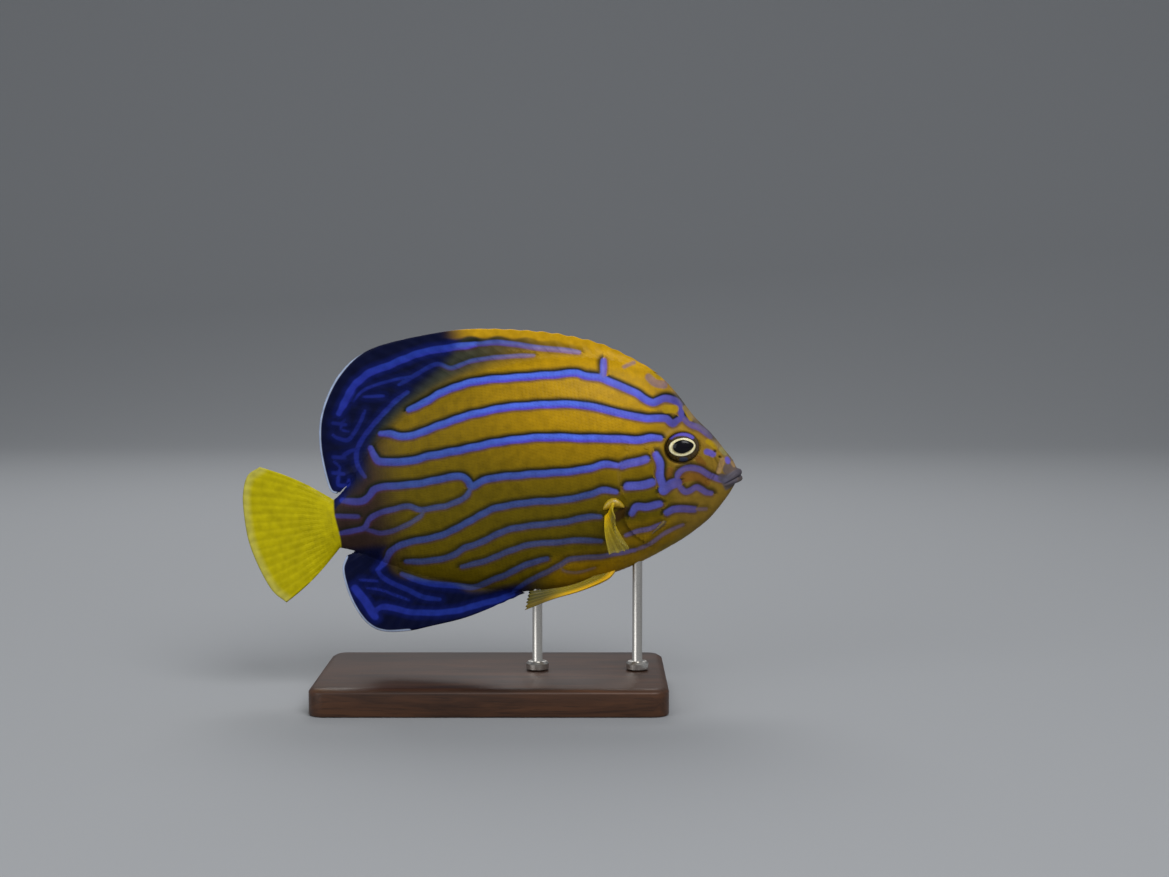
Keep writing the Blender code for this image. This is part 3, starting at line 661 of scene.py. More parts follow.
def median_fin(root, margin, rays, spine_share, rows):
    """Rows of a fin beyond the ridge: points, and how near each is to a ray's middle."""
    columns = len(root)
    across = np.arange(columns) / (columns - 1)
    if rays == DORSAL_RAYS:  # whose columns are closer together behind its middle
        across = (root[:, 0] - DORSAL_BASE_X[0]) / (DORSAL_BASE_X[1] - DORSAL_BASE_X[0])
    on_ray = ray_share(across, rays)
    reach = 1 - SPINE_NOTCH * np.clip(1 - across / spine_share, 0, 1) * (1 - on_ray)
    tip = along(margin)(across)
    ends = round_ends(columns, END_COLUMNS)
    grid = np.zeros((columns, rows + 1, 3))
    for row, share in enumerate(outward_steps(rows + 1)):
        grid[:, row, 0] = root[:, 0] + (tip[:, 0] - root[:, 0]) * share * reach
        grid[:, row, 2] = root[:, 2] + (tip[:, 1] - root[:, 2]) * share * reach
        thickness = half_thickness(root[:, 1], on_ray, share, THINNING, RIDGE_RAMP)
        grid[:, row, 1] = np.maximum(0, thickness * (ends if share > 0 else 1))
    grid[:, -1, 1] = 0
    grid[[0, -1], :, 1] = 0
    return grid, np.repeat(on_ray[:, None], rows + 1, 1)


def tail_fin(root, rows=ROWS):
    """Columns of the tail fin behind the tail stalk's last section."""
    across = 1 - np.arange(rows + 1) / rows
    on_ray = ray_share(across, TAIL_RAYS)
    tip = along(TAIL_MARGIN)(across)
    ends = round_ends(rows + 1, TAIL_END_ROWS)
    grid = np.zeros((TAIL_COLUMNS + 1, rows + 1, 3))
    for column, share in enumerate(outward_steps(TAIL_COLUMNS + 1)):
        grid[column, :, 0] = root[:, 0] + (tip[:, 0] - root[:, 0]) * share
        grid[column, :, 2] = root[:, 2] + (tip[:, 1] - root[:, 2]) * share
        grid[column, :, 2] += (1 - 2 * across) * TAIL_EDGE_BOW * math.sin(math.pi * share)
        thickness = half_thickness(np.maximum(root[:, 1], WEB), on_ray, share, TAIL_THINNING,
                                   TAIL_RIDGE_RAMP)
        grid[column, :, 1] = thickness * ends if share > 0 else root[:, 1]
    grid[-1, :, 1] = 0
    grid[:, [0, -1], 1] = 0
    return grid, np.repeat(on_ray[None], TAIL_COLUMNS + 1, 0)


dorsal, dorsal_ray = median_fin(body[dorsal_first:dorsal_last + 1, -1], DORSAL_MARGIN, DORSAL_RAYS,
                                DORSAL_SPINE_SHARE, DORSAL_ROWS)
anal, anal_ray = median_fin(body[anal_first:anal_last + 1, 0], ANAL_MARGIN, ANAL_RAYS,
                            ANAL_SPINE_SHARE, ANAL_ROWS)
tail, tail_ray = tail_fin(body[-1])
print("fins", dorsal.shape, anal.shape, tail.shape)

# %% [markdown]
# All of it goes on one grid primitive. It has a row for each row of the anal fin, the flank and the
# dorsal fin. Its points are moved to their places, the faces that no fin needs are deleted, and a
# Mirror modifier closes the fish along its middle plane, where both halves share their border.

# %% Points, fields and map of a mesh


def get_points(item):
    """Points of a mesh as an array."""
    points = np.zeros(len(item.data.vertices) * 3)
    item.data.vertices.foreach_get("co", points)
    return points.reshape(-1, 3)


def set_points(item, points):
    """Moves the points of a mesh to their places."""
    item.data.vertices.foreach_set("co", np.ravel(points))
    item.data.update()


def give_fields(item, fields):
    """Stores each field as an attribute of the mesh's points, for its paint to read."""
    for name, values in fields.items():
        layer = item.data.attributes.new(name, "FLOAT", "POINT")
        layer.data.foreach_set("value", np.ascontiguousarray(values, dtype=np.float32))


def give_map(item, spots):
    """Gives a mesh the UV map OFBake, with a spot for each of its points."""
    while item.data.uv_layers:
        item.data.uv_layers.remove(item.data.uv_layers[0])
    corner_vertex = np.zeros(len(item.data.loops), int)
    item.data.loops.foreach_get("vertex_index", corner_vertex)
    layer = item.data.uv_layers.new(name="OFBake")
    layer.uv.foreach_set("vector", spots[corner_vertex].ravel())


print("helpers read and write a mesh's points at once, as arrays")

# %% The skin as one sheet
columns_all = len(column_x) + TAIL_COLUMNS
rows_all = ANAL_ROWS + ROWS + DORSAL_ROWS
sheet = np.full((columns_all, rows_all + 1, 3), np.nan)
on_fin = np.zeros((columns_all, rows_all + 1))
flank_rows = slice(ANAL_ROWS, ANAL_ROWS + ROWS + 1)
sheet[:len(column_x), flank_rows] = body
sheet[len(column_x):, flank_rows] = tail[1:]
on_fin[len(column_x):, flank_rows] = tail_ray[1:]
sheet[dorsal_first:dorsal_last + 1, ANAL_ROWS + ROWS:] = dorsal
on_fin[dorsal_first:dorsal_last + 1, ANAL_ROWS + ROWS + 1:] = dorsal_ray[:, 1:]
sheet[anal_first:anal_last + 1, :ANAL_ROWS + 1] = anal[:, ::-1]
on_fin[anal_first:anal_last + 1, :ANAL_ROWS] = anal_ray[:, :0:-1]
kept = ~np.isnan(sheet[..., 0])


def unwrap(points):
    """The sheet laid flat, in millimetres: the flank by its length along and up, the fins as they are."""
    middle = ANAL_ROWS + ROWS // 2
    flat = np.zeros((*points.shape[:2], 2))
    steps = np.linalg.norm(np.diff(points[:, middle], axis=0), axis=-1)
    flat[:, :, 0] = -np.concatenate([[0], np.cumsum(steps)])[:, None]
    sizes = np.linalg.norm(np.diff(points, axis=1), axis=-1)
    height = np.nancumsum(np.hstack([np.zeros((len(points), 1)), sizes]), axis=1)
    flat[:, :, 1] = height - height[:, middle:middle + 1]
    lean = points[:, :, 0] - points[:, middle:middle + 1, 0]
    flat[:, :, 0] += np.where(np.arange(points.shape[0])[:, None] < len(column_x), lean, 0)
    return flat


flat = unwrap(sheet)
skin = new_primitive(bpy.ops.mesh.primitive_grid_add, "skin", x_subdivisions=columns_all - 1,
                     y_subdivisions=rows_all, size=2)
grid_points = get_points(skin)
grid_column = np.round((grid_points[:, 0] + 1) / 2 * (columns_all - 1)).astype(int)
grid_row = np.round((grid_points[:, 1] + 1) / 2 * rows_all).astype(int)
print("grid", len(grid_points), "points, unwrapped", np.nanmin(flat, (0, 1)).round(1), "to",
      np.nanmax(flat, (0, 1)).round(1))

# %% Place the sheet and mirror it
UNWRAP_SIZE = 216.0  # millimetres across the whole map, which holds both sides
SNOUT_SPOT = (0.9, 0.225)  # the snout's place on the map
OTHER_SIDE = 0.5  # how much higher on the map the right side is
MEET = 1e-3  # points of the two halves closer than this become one
set_points(skin, np.nan_to_num(sheet[grid_column, grid_row]))
give_fields(skin, {"ray": on_fin[grid_column, grid_row]})
give_map(skin, np.nan_to_num(flat[grid_column, grid_row]) / UNWRAP_SIZE + SNOUT_SPOT)

bpy.ops.object.mode_set(mode="EDIT")
bpy.ops.mesh.select_mode(type="VERT")
bpy.ops.mesh.select_all(action="DESELECT")
edited = bmesh.from_edit_mesh(skin.data)
edited.verts.ensure_lookup_table()
for vertex, keep in zip(edited.verts, kept[grid_column, grid_row]):
    vertex.select = not keep
edited.select_flush(True)
bmesh.update_edit_mesh(skin.data)
bpy.ops.mesh.delete(type="VERT")
bpy.ops.object.mode_set(mode="OBJECT")
print("kept", len(skin.data.polygons), "faces of the left half")

# %% Mirror and close
mirror = skin.modifiers.new("other_side", "MIRROR")
mirror.use_axis = (False, True, False)
mirror.merge_threshold = MEET / 10
mirror.use_mirror_v = False
mirror.offset_v = OTHER_SIDE
bpy.ops.object.modifier_apply(modifier=mirror.name)
bpy.ops.object.mode_set(mode="EDIT")
bpy.ops.mesh.select_all(action="SELECT")
bpy.ops.mesh.remove_doubles(threshold=MEET)
bpy.ops.mesh.normals_make_consistent(inside=False)
bpy.ops.object.mode_set(mode="OBJECT")
bpy.ops.object.shade_smooth()
whole = bmesh.new()
whole.from_mesh(skin.data)
open_edges = sum(edge.is_boundary for edge in whole.edges)
odd_edges = sum(not edge.is_manifold for edge in whole.edges)
whole.free()
print("skin", len(skin.data.polygons), "faces,", open_edges, "open edges,", odd_edges, "not manifold")

# %% [markdown]
# The fish is known by its bars. On the real one they are pigment in the skin: sky blue on the back,
# violet on the face, each with a black-green edge above and a violet fringe below. Painted by hand
# they would be strokes of a brush, so here each bar is a stroke too: half a width in millimetres, a
# strength, and a route picked in the photo. A route is dropped onto the flank where the
# camera's lines of sight meet it, so that it lies on the form and still lines up from the camera.

# %% From the photo to the flank
READ_HIGH = (0, 0.8)  # pixels: the routes were read a little high


def seen_on_flank(pixels):
    """Where the lines of sight through pixels of the photo meet the fish's right side: x and z."""
    across, down = (np.array(pixels, float) + READ_HIGH - FISH_PIXEL).T * PHOTO_SCALE
    lens = np.array(eye_point - FISH_ORIGIN)
    seen = np.outer(across, (1, 0, 0)) - np.outer(down, upward)
    place = np.zeros((len(across), 2))
    for _ in range(4):
        share = (-flank_y(*place.T) - lens[1]) / (seen[:, 1] - lens[1])
        point = lens + share[:, None] * (seen - lens)
        place[:, 0] = point[:, 0] * math.cos(PITCH) + point[:, 2] * math.sin(PITCH)
        place[:, 1] = point[:, 2] * math.cos(PITCH) - point[:, 0] * math.sin(PITCH)
    return place


print("the pixel of the fish's middle meets the flank at", seen_on_flank([FISH_PIXEL]).round(1))

# %% The bars, as strokes of a brush
BARS = {  # half width, strength, route in pixels of the photo
    "dorsal_top": (1.1, 0.9, ((339, 412.5), (344, 403), (348.5, 394), (354, 385), (360.5, 379),
        (371, 371), (386, 366), (402, 359), (420, 352.3), (432, 349.7), (451, 346.7), (476, 343.5))),
    "dorsal_top_front": (0.85, 0.5, ((476, 343.5), (496, 341.8), (515, 343.4), (534, 346.8),
        (553, 348.3), (579, 351.5))),
    "dorsal_faint": (0.7, 0.4, ((399, 384), (411, 377), (425, 368.5), (438, 363), (451, 367.4),
        (464, 362.7), (476, 359.3), (496, 356.6), (515, 355.3), (534, 354.6))),
    "back": (1.08, 1.0, ((409, 409), (426, 401), (440, 392.5), (454, 387), (468, 382.5), (487, 379.2),
        (515, 377), (540, 375), (559, 373.7), (576, 372.2), (585, 375), (600, 377.2), (609, 381),
        (619, 385), (628, 389), (637, 393), (643, 397.6), (649, 401), (654, 402), (659, 399.4),
        (664, 397.6), (670.5, 398.5), (677, 401.5), (680.5, 407), (681.5, 415))),
    "back_branch": (1.0, 0.85, ((603, 377.6), (603.7, 360))),
    "shoulder": (1.08, 1.0, ((381, 432.5), (390, 433), (402, 436), (419, 432.7), (433, 427),
        (454, 419.5), (468, 414.8), (489, 410.2), (503, 407.2), (534, 404.6), (560, 403.5), (587, 405),
        (614, 411.5), (632, 415), (640, 416.5), (648, 418), (657, 417.5), (666, 417.5), (670.2, 421),
        (673, 422.6), (677.5, 419.6), (682.7, 417))),
    "nape": (0.95, 0.75, ((682.7, 417), (690.7, 424), (698, 426.5), (704, 430.5), (710.4, 436))),
    "eye_bar": (1.12, 1.0, ((371, 447), (374, 455), (380, 461), (398, 461), (412, 460), (426, 456),
        (447, 452), (468, 447.8), (489, 443.2), (498, 441.5), (525, 438), (551, 436.6), (587, 437.7),
        (614, 438), (635, 439.3), (650, 437.3), (660, 437.4))),
    "middle": (1.05, 0.95, ((342, 499.5), (360, 501), (369, 495.4), (375, 488), (388, 485.6),
        (409, 484), (426, 481.5), (447, 477), (461, 475.5), (468, 480), (471.5, 486), (482, 480.4),
        (496, 476.8), (520, 474.6), (534, 473.3), (569, 471), (591, 467.4), (605, 463.4),
        (617, 464.5))),
    "gill_1": (1.2, 0.85, ((622, 464.5), (634, 461.5), (646, 458.8))),
    "stalk_loop": (0.85, 0.7, ((339, 533), (353, 530), (364.5, 527.2), (369, 519), (377.7, 513),
        (395, 508), (409, 505.4), (421, 509), (440, 506), (448, 504.5), (465, 496.7), (471, 487))),
    "stalk_loop_low": (0.75, 0.5, ((364.5, 528), (371.5, 530), (381, 532.5), (393, 530), (409, 523),
        (421, 515), (423, 510))),
    "stalk_mark": (0.75, 0.6, ((336.5, 515), (358, 516))),
    "flank_1": (0.98, 0.85, ((378, 568.5), (385.5, 560.5), (390, 551.5), (396.5, 546.5), (409, 541.5),
        (440, 535), (465, 523), (483, 513), (497, 507), (530, 501.5), (563, 499.3), (588, 494.3),
        (603, 489.4), (616, 491))),
    "gill_2": (1.25, 0.9, ((627, 485.5), (637, 485), (646, 483.3), (652, 482))),
    "flank_2": (0.95, 0.72, ((406, 561), (430, 560), (451, 555.5), (465, 547), (480, 542), (505, 530),
        (530, 525), (563, 521.4), (588, 516), (600, 516.2))),
    "gill_3": (1.15, 0.85, ((632, 512), (636.5, 506), (645, 506), (653, 504.7), (659.5, 503.3))),
    "flank_3": (0.9, 0.65, ((462, 566), (487, 559.6), (505, 552), (530, 543.7), (555, 541.8),
        (579, 539.4), (601, 540.5))),
    "gill_4": (0.75, 0.55, ((626, 534.5), (637, 530.4), (650, 527.6), (662, 523))),
    "anal_upper": (0.95, 0.7, ((402, 573), (416, 578.5), (430, 582), (458, 584.6), (476, 585.8),
        (491, 579.7), (506, 574), (520, 566.7), (532, 562), (547, 558))),
    "belly": (0.82, 0.6, ((514, 590), (526, 582), (537, 576), (549, 570.3), (560, 564.3),
        (569.5, 558.7), (583, 557), (600, 556), (618, 552.4), (635, 549.4))),
    "throat": (0.65, 0.42, ((635, 549.4), (650, 543), (661.3, 534.6), (672, 528.5), (683, 524))),
    "belly_branch": (0.45, 0.35, ((560, 566), (565, 570.5), (578, 571.7), (595, 567))),
    "anal_thin": (0.8, 0.5, ((378, 569.5), (383, 576.5), (395, 583.3), (409, 589.3), (423, 596),
        (440, 598.2))),
    "anal_root": (1.3, 0.85, ((355, 587), (364.5, 599.5), (370.5, 608), (375, 615.5))),
    "anal_low": (0.95, 0.75, ((375, 609.5), (383, 606), (395, 607.3), (409, 610.8), (423, 611.8),
        (440, 611.5), (458, 609.5), (480, 603.2), (497, 599), (513, 592.8))),
    "anal_mark": (0.45, 0.5, ((360, 579), (378, 580))),
    "anal_fine": (0.45, 0.55, ((367, 587), (381, 589), (395, 594), (409, 599))),
    "lobe_line": (0.78, 0.5, ((408, 391), (397, 399), (388, 408), (375, 422), (364, 436), (358, 447),
        (356.6, 456), (358, 464), (362, 472), (365, 476))),
    "lobe_branch": (0.65, 0.45, ((358, 448), (351, 450), (344, 454))),
    "lobe_inner": (0.65, 0.4, ((365, 410), (360, 422), (353, 434), (347, 439.5), (337, 437),
        (333, 434))),
    "lobe_mark_1": (0.6, 0.45, ((333, 472), (344, 473))),
    "lobe_mark_2": (0.65, 0.6, ((338.5, 476.7), (338.5, 484), (347.5, 484.5), (349, 479))),
    "lobe_mark_3": (0.6, 0.35, ((333, 456), (345, 457))),
    "lobe_mark_4": (0.6, 0.35, ((333, 422), (346, 424))),
    "lobe_mark_5": (0.5, 0.5, ((364, 396), (384, 395))),
    "lobe_mark_6": (0.5, 0.45, ((353, 401), (361, 391.5), (372, 385.5), (392, 379.5), (412, 375.5))),
    "lobe_mark_7": (0.45, 0.4, ((334, 461), (340, 466.5), (338, 472))),
    "lobe_mark_8": (0.4, 0.4, ((345, 418), (341, 428), (349, 431))),
    "eye_back": (1.2, 0.9, ((656, 453.5), (659.3, 460.5), (660.2, 469), (659.8, 476), (662.3, 483),
        (665.5, 486))),
    "cheek_patch": (1.5, 0.85, ((663.5, 489), (670, 484.5), (677, 481.5))),
    "cheek_top": (0.92, 0.78, ((677, 481.5), (677.8, 474), (682.7, 468.8), (690.7, 467), (699.6, 468.6),
        (704.5, 471.4), (709, 474.2), (719, 478.4), (726, 480))),
    "cheek_low": (0.92, 0.8, ((679, 484.5), (684.5, 490.6), (689.8, 489.8), (696, 486.6),
        (700.5, 488.2), (705.9, 491.6), (711, 492.6))),
    "jaw": (1.1, 0.8, ((667, 511.5), (673, 508.8), (683.6, 507.9), (694.3, 508.4))),
    "jaw_front": (0.6, 0.35, ((694.3, 508.4), (706, 508.2))),
}
bar_lines = {name: smooth_line(seen_on_flank(route), 4) for name, (_, _, route) in BARS.items()}
print(len(BARS), "bars")

# %% [markdown]
# Every point of the skin measures how far it is from the edge of the nearest stroke, and which way.
# The material draws the bar where that distance is below nothing, so its edges stay sharp however
# coarse the mesh is. The other colour fields are distances or shares in the same way: the navy of the
# two rear lobes, the yellow tail behind its border, the gold along the folded spines, the pale margin.
# The left side's strokes wander a little from the right side's, as they do in life.

# %% Other places read off the photo
DORSAL_NAVY = ((468, 322), (458, 345), (440, 368), (418, 388), (395, 408), (378.5, 427), (368, 451),
               (365, 475), (349, 493.5))
ANAL_NAVY = ((342, 547), (386, 543), (386, 555), (398, 571), (422, 575), (453, 579), (473, 587), (504, 583),
             (530, 577))
TAIL_BORDER = ((326, 487), (333, 494), (334.5, 514), (340, 536), (341.5, 550), (338, 556))
TOUCHES = {  # each a half width in millimetres and a route in pixels of the photo
    "gold": ((0.85, ((708.0, 440.8), (711.5, 442.6), (715.5, 445.6))), (1.2, ((666, 408.5), (675, 408))),
             (0.8, ((685, 407), (691, 418))), (0.8, ((652, 371.5), (659, 376.5)))),
    "pale": ((0.8, ((721.5, 448.6), (725.0, 452.0))),),
    "violet": ((0.95, ((706.8, 451.0), (709.5, 451.8), (713.0, 453.4))),
               (0.85, ((727.0, 458.6), (728.0, 460.4)))),
    "rust": ((1.5, ((683, 477), (695, 475.5), (706, 481))), (1.2, ((670, 470), (668, 477))),
             (1.1, ((698.5, 458.0), (703, 464.0)))),
    "beige": ((0.85, ((722.4, 459.2), (718.8, 470.4))), (0.55, ((732, 461.5), (734.0, 464.8)))),
    "mauve": ((1.2, ((649.0, 376.5), (655, 382.0), (664, 384.0))), (0.6, ((624, 366), (634, 361.5)))),
    "muzzle": ((2.0, ((729, 468), (738, 469.5))), (1.3, ((722, 477), (733, 479.5)))),
    # a painted shadow in the hollow under the pectoral lobe
    "axil_shadow": ((1.5, ((617, 516), (625, 510))),),
}
BAR_FAR = 4.0  # beyond this distance a bar has no more say
TAPER = 0.25  # share of its width that a bar loses at its ends
TAPER_LENGTH = 3.5
WOBBLE = 0.07  # how much a bar's width comes and goes
WANDER = 0.8  # how far the left side's strokes stray
navy_lines = [smooth_line(seen_on_flank(line), 5) for line in (DORSAL_NAVY, ANAL_NAVY)]
tail_line = smooth_line(seen_on_flank(TAIL_BORDER), 5)
touch_lines = {name: [(half, smooth_line(seen_on_flank(route), 4)) for half, route in strokes]
               for name, strokes in TOUCHES.items()}
crest_line = smooth_line(DORSAL_MARGIN[:8], 5)
pale_lines = [smooth_line(line, 6) for line in (DORSAL_MARGIN[7:], ANAL_MARGIN[4:])]
rim_line = smooth_line(TAIL_MARGIN, 6)
forehead_line = smooth_line(BACK_LINE[1:7])
chin_line = smooth_line(BELLY_LINE[1:8])

# %% Colour fields


def bar_fields(x, z):
    """Distance beyond the nearest bar's edge, height across it in half widths, and its strength."""
    edge = np.full(x.shape, BAR_FAR)
    height = np.zeros(x.shape)
    strength = np.zeros(x.shape)
    for name, (half, power, _) in BARS.items():
        line = bar_lines[name]
        low, high = line.min(0) - BAR_FAR - half, line.max(0) + BAR_FAR + half
        near = (x > low[0]) & (x < high[0]) & (z > low[1]) & (z < high[1])
        px, pz = x[near], z[near]
        away, side = line_distance(px, pz, line)
        to_end = np.minimum(*[far_from(px, pz, end) for end in line[[0, -1]]])
        length = np.linalg.norm(np.diff(line, axis=0), axis=1).sum()
        here = half * (1 - TAPER * smooth_step(min(TAPER_LENGTH, 0.2 * length), 0, to_end))
        here *= 1 + WOBBLE * np.sin(0.9 * px + 1.3 * pz + 40 * half)
        better = away - here < edge[near]
        at = np.flatnonzero(near)[better]
        edge[at] = (away - here)[better]
        height[at] = np.clip((side * away / here)[better], -3, 3)
        strength[at] = power
    return edge, height, strength


def touch(x, z, strokes):
    """1 inside a few short strokes and 0 outside them."""
    inside = [smooth_step(half + 0.3, half - 0.4, near_line(x, z, line)) for half, line in strokes]
    return np.max(inside, axis=0)


def beyond_line(x, z, line):
    """Distance from a line, positive on its right hand."""
    far, side = line_distance(x, z, line)
    return -side * far


def colour_fields(points):
    """All the fields that the skin's paint reads, for points in the fish's frame."""
    x, y, z = points.T
    stray = WANDER * smooth_step(0.5, 3, y)
    strayed = x + stray * np.sin(0.21 * z + 0.9), z + stray * np.sin(0.13 * x + 2.1)
    edge, height, strength = bar_fields(*strayed)
    navy = smooth_step(-3.5, 3.0, beyond_line(x, z, navy_lines[0])) * (z > 0)
    low_navy = smooth_step(-1.5, 3.0, beyond_line(x, z, navy_lines[1])) * smooth_step(4, -14, x) * (z < 0)
    crest_far = near_line(x, z, crest_line)
    margin = np.minimum(*[near_line(x, z, line) for line in pale_lines])
    margin += 0.8 * smooth_step(-56, -42, x) * (z > 0)
    corner, front = np.array(MOUTH_CORNER), np.array(MOUTH_FRONT)
    forward = (front - corner) / np.linalg.norm(front - corner)
    mouth_along = (x - corner[0]) * forward[0] + (z - corner[1]) * forward[1]
    mouth_up = (z - corner[1]) * forward[0] - (x - corner[0]) * forward[1]
    # painted shade in the hollows of the head: the eye's socket, the mouth's line, the jaw crease and the
    # nostrils
    dark = 0.8 * smooth_step(1.07, 0.98, eye_share(x, z))
    dark = np.maximum(dark, 0.65 * bell(mouth_up, 0, 0.22) * smooth_step(-0.8, 0.4, mouth_along))
    dark = np.maximum(dark, 0.5 * bell(near_line(x, z, jaw_line), 0, 0.34))
    for place in NOSTRILS:
        dark = np.maximum(dark, 0.8 * np.exp(-(far_from(x, z, place) / 0.42) ** 4))
    plate = np.minimum(np.abs(x - gill_x(z)) + 3 * smooth_step(5, 9, np.abs(z - 4)),
                       np.abs(x - cheek_x(z)) + 3 * smooth_step(8, 12, np.abs(z)))
    above_back = z - back_z(x)
    # a lighter belly and throat: partly the fish's own colour, partly painted light on the shaded underside
    under = smooth_step(-14, -24, z) * smooth_step(-10, 12, x)
    throat = smooth_step(-7, -14, z) * smooth_step(16, 26, x)
    chin = smooth_step(2.4, 0.6, near_line(x, z, chin_line)) * smooth_step(26, 34, x)
    return {
        "bar_edge": edge, "bar_height": height, "bar_strength": strength,
        "navy": np.maximum(navy, low_navy),
        "tail_edge": beyond_line(x, z, tail_line),
        "tail_rim": near_line(x, z, rim_line),
        "fin_shade": smooth_step(-3, 5, above_back) * smooth_step(30, -25, x),
        "crest": smooth_step(3.2, 1.9, crest_far + 0.4 * np.sin(0.75 * x)) * smooth_step(-25, -11, x),
        "margin": margin,
        # darker towards the bottom, partly the fish's own colour and partly painted shade of light from
        # above; also darker towards the rear
        "tone": smooth_step(-14, 30, z) ** 1.2 * (0.3 + 0.7 * smooth_step(-34, 36, x)),
        "rear": smooth_step(-34, -54, x),
        "belly": np.maximum(under, 0.6 * throat) * smooth_step(44, 38, x),
        "front": smooth_step(12, 28, x),
        "face": smooth_step(33, 45, x),
        "forehead": smooth_step(2.2, 0.5, near_line(x, z, forehead_line)) * smooth_step(41, 46, x),
        "chin": chin * smooth_step(46, 40, x),
        "dark": dark,
        "plate_edge": np.clip(plate, 0, BAR_FAR),
        "lips": smooth_step(2.6, 1.6, np.abs(mouth_up)) * smooth_step(-1.4, -0.2, mouth_along),
        **{name: touch(x, z, strokes) for name, strokes in touch_lines.items()},
    }


skin_fields = colour_fields(get_points(skin))
# 0.3 keeps the skin between the scales out of the painted shade at their roots
skin_fields["scale_out"] = np.full(len(skin.data.vertices), 0.3)
give_fields(skin, skin_fields)
set_points(skin, to_world(get_points(skin)))
print("skin carries", len(skin_fields) + 1, "fields")

# %% [markdown]
# The finish is oil paint under a thin satin varnish, as on a cast museum fish: rich colour, a soft
# sheen and no glitter. Ochre comes first and each colour goes over it where its field says, in the
# order that a painter would work: shades of the ground, darker low down partly as painted shade,
# lighter on the belly partly as painted light and with a painted shadow under the pectoral lobe, navy,
# the dark edges of the bars, the bars, then face, tail, margin and the darkest touches last, which are
# painted shade in the hollows of the head and at the roots of the scales. A fine mottle keeps any
# stretch from being flat.

# %% Paint of the skin
LOW_OLIVE = "#5a4c04"
BAR_BLUE = "#4a66d2"
BAR_VIOLET = "#503cb4"
ABOVE_BAR = "#0c140c"
BELOW_BAR = "#42243a"
NAVY_GLOW = "#0a165c"  # beside a bar where the ground is navy
GROUND_LAYERS = (  # field, where it begins and is full, how strong, colour
    # ochre high up over olive low down: partly the fish's own colour, partly painted shade of light from
    # above
    ("tone", 0.0, 1.0, 1.0, "#b48a02"),
    # partly the belly's own colour, partly painted light on the shaded underside
    ("belly", 0.0, 1.0, 0.8, "#a07a08"),
    ("rear", 0.0, 1.0, 0.95, "#281a1a"),
    ("face", 0.0, 1.0, 0.65, "#8a6c28"),
    ("rust", 0.0, 1.0, 0.8, "#744c18"),
    ("plate_edge", 0.9, 0.3, 0.6, "#7a6216"),
    ("fin_shade", 0.0, 1.0, 0.9, "#24302e"),
    ("navy", 0.0, 1.0, 1.0, "#030828"),
    ("crest", 0.0, 1.0, 0.95, "#bc900c"),
    # a painted shadow in the hollow under the pectoral lobe
    ("axil_shadow", 0.0, 1.0, 0.8, "#3a2414"),
    ("mauve", 0.0, 1.0, 0.6, "#6e5e80"),
)
BAR_LAYERS = (
    ("bar_height", -0.8, 0.1, 1.0, BAR_BLUE, EVEN),
    # bars duller low down, partly painted shade as on the ground
    ("tone", 0.6, 0.05, 0.85, "#2c4272"),
    ("rear", 0.0, 1.0, 0.6, "#3e3080"),
    ("front", 0.0, 1.0, 0.55, "#5c5ac2"),
    ("face", 0.0, 1.0, 0.85, "#4e468a"),
    ("navy", 0.3, 1.0, 0.8, "#162a90"),
)
skin_paint, tree, shader = new_material("oil_paint_on_cast_skin", Roughness=0.4, Coat_Weight=0.03,
                                        Coat_Roughness=0.25, Specular_IOR_Level=0.07)

MOTTLE = 2.5 * MM
GRAIN = 0.25 * MM
DARKEST, LIGHTEST = 0.84, 1.14  # what the mottle makes of the colour
GLOSSIEST, DULLEST = 0.34, 0.54  # and of the roughness
mottle = grains(tree, MOTTLE, detail=4.0)
grain = grains(tree, GRAIN)

colour = paint_over(tree, LOW_OLIVE, GROUND_LAYERS)
for height, reach, weight, paint in ((0.9, 1.7, 1.0, ABOVE_BAR), (-0.9, 1.0, 0.6, BELOW_BAR)):
    beside = mask(tree, "bar_strength", ("bar_height", 0.2 * height, height),
                  ("bar_edge", reach, 0.1, SOFT))
    beside = mask(tree, weight, (beside, 0.0, 1.0))
    colour = paint_over(tree, colour, (("navy", 0.8, 0.1, beside, paint, EVEN),))
glow = mask(tree, 0.6, ("bar_strength", 0.0, 0.8), ("navy", 0.4, 1.0))
bar_colour = paint_over(tree, BAR_VIOLET, BAR_LAYERS)
between_rays = mask(tree, 0.14, ("ray", 0.35, 0.0))
colour = paint_over(tree, colour, (
    ("bar_edge", 2.0, 0.1, glow, NAVY_GLOW),
    ("bar_edge", 0.25, -0.35, "bar_strength", bar_colour),
    ("gold", 0.0, 1.0, 0.85, "#a8880a"),
    ("chin", 0.0, 1.0, 0.5, "#7a6a14"),
    ("forehead", 0.0, 1.0, 0.5, "#6a6464"),
    ("muzzle", 0.0, 1.0, 0.7, "#4e4856"),
    ("lips", 0.0, 1.0, 0.8, "#4a4854"),
    ("pale", 0.0, 1.0, 0.7, "#8e8850"),
    ("violet", 0.0, 1.0, 0.9, "#5e54b4"),
    ("beige", 0.0, 1.0, 0.85, "#9a7c52"),
    ("tail_edge", -0.35, 0.35, 1.0, "#aca004"),
    ("tail_edge", 3.0, 9.0, between_rays, "#7a6e02", EVEN),
    ("tail_rim", 3.0, 1.0, 0.45, "#b8b464"),
    ("margin", 0.75, 0.4, 0.9, "#a2b0cc"),
    # painted shade in the hollows and creases of the head
    ("dark", 0.0, 1.0, 0.9, "#0c080e"),
    # painted shade at each scale's root, under the free edge of the scale ahead
    ("scale_out", 0.2, 0.0, 0.35, "#080604"),
))
shade = add_node(tree, "ShaderNodeMapRange", {"Value": mottle, "From Min": 0.3, "From Max": 0.7,
                                              "To Min": DARKEST, "To Max": LIGHTEST})
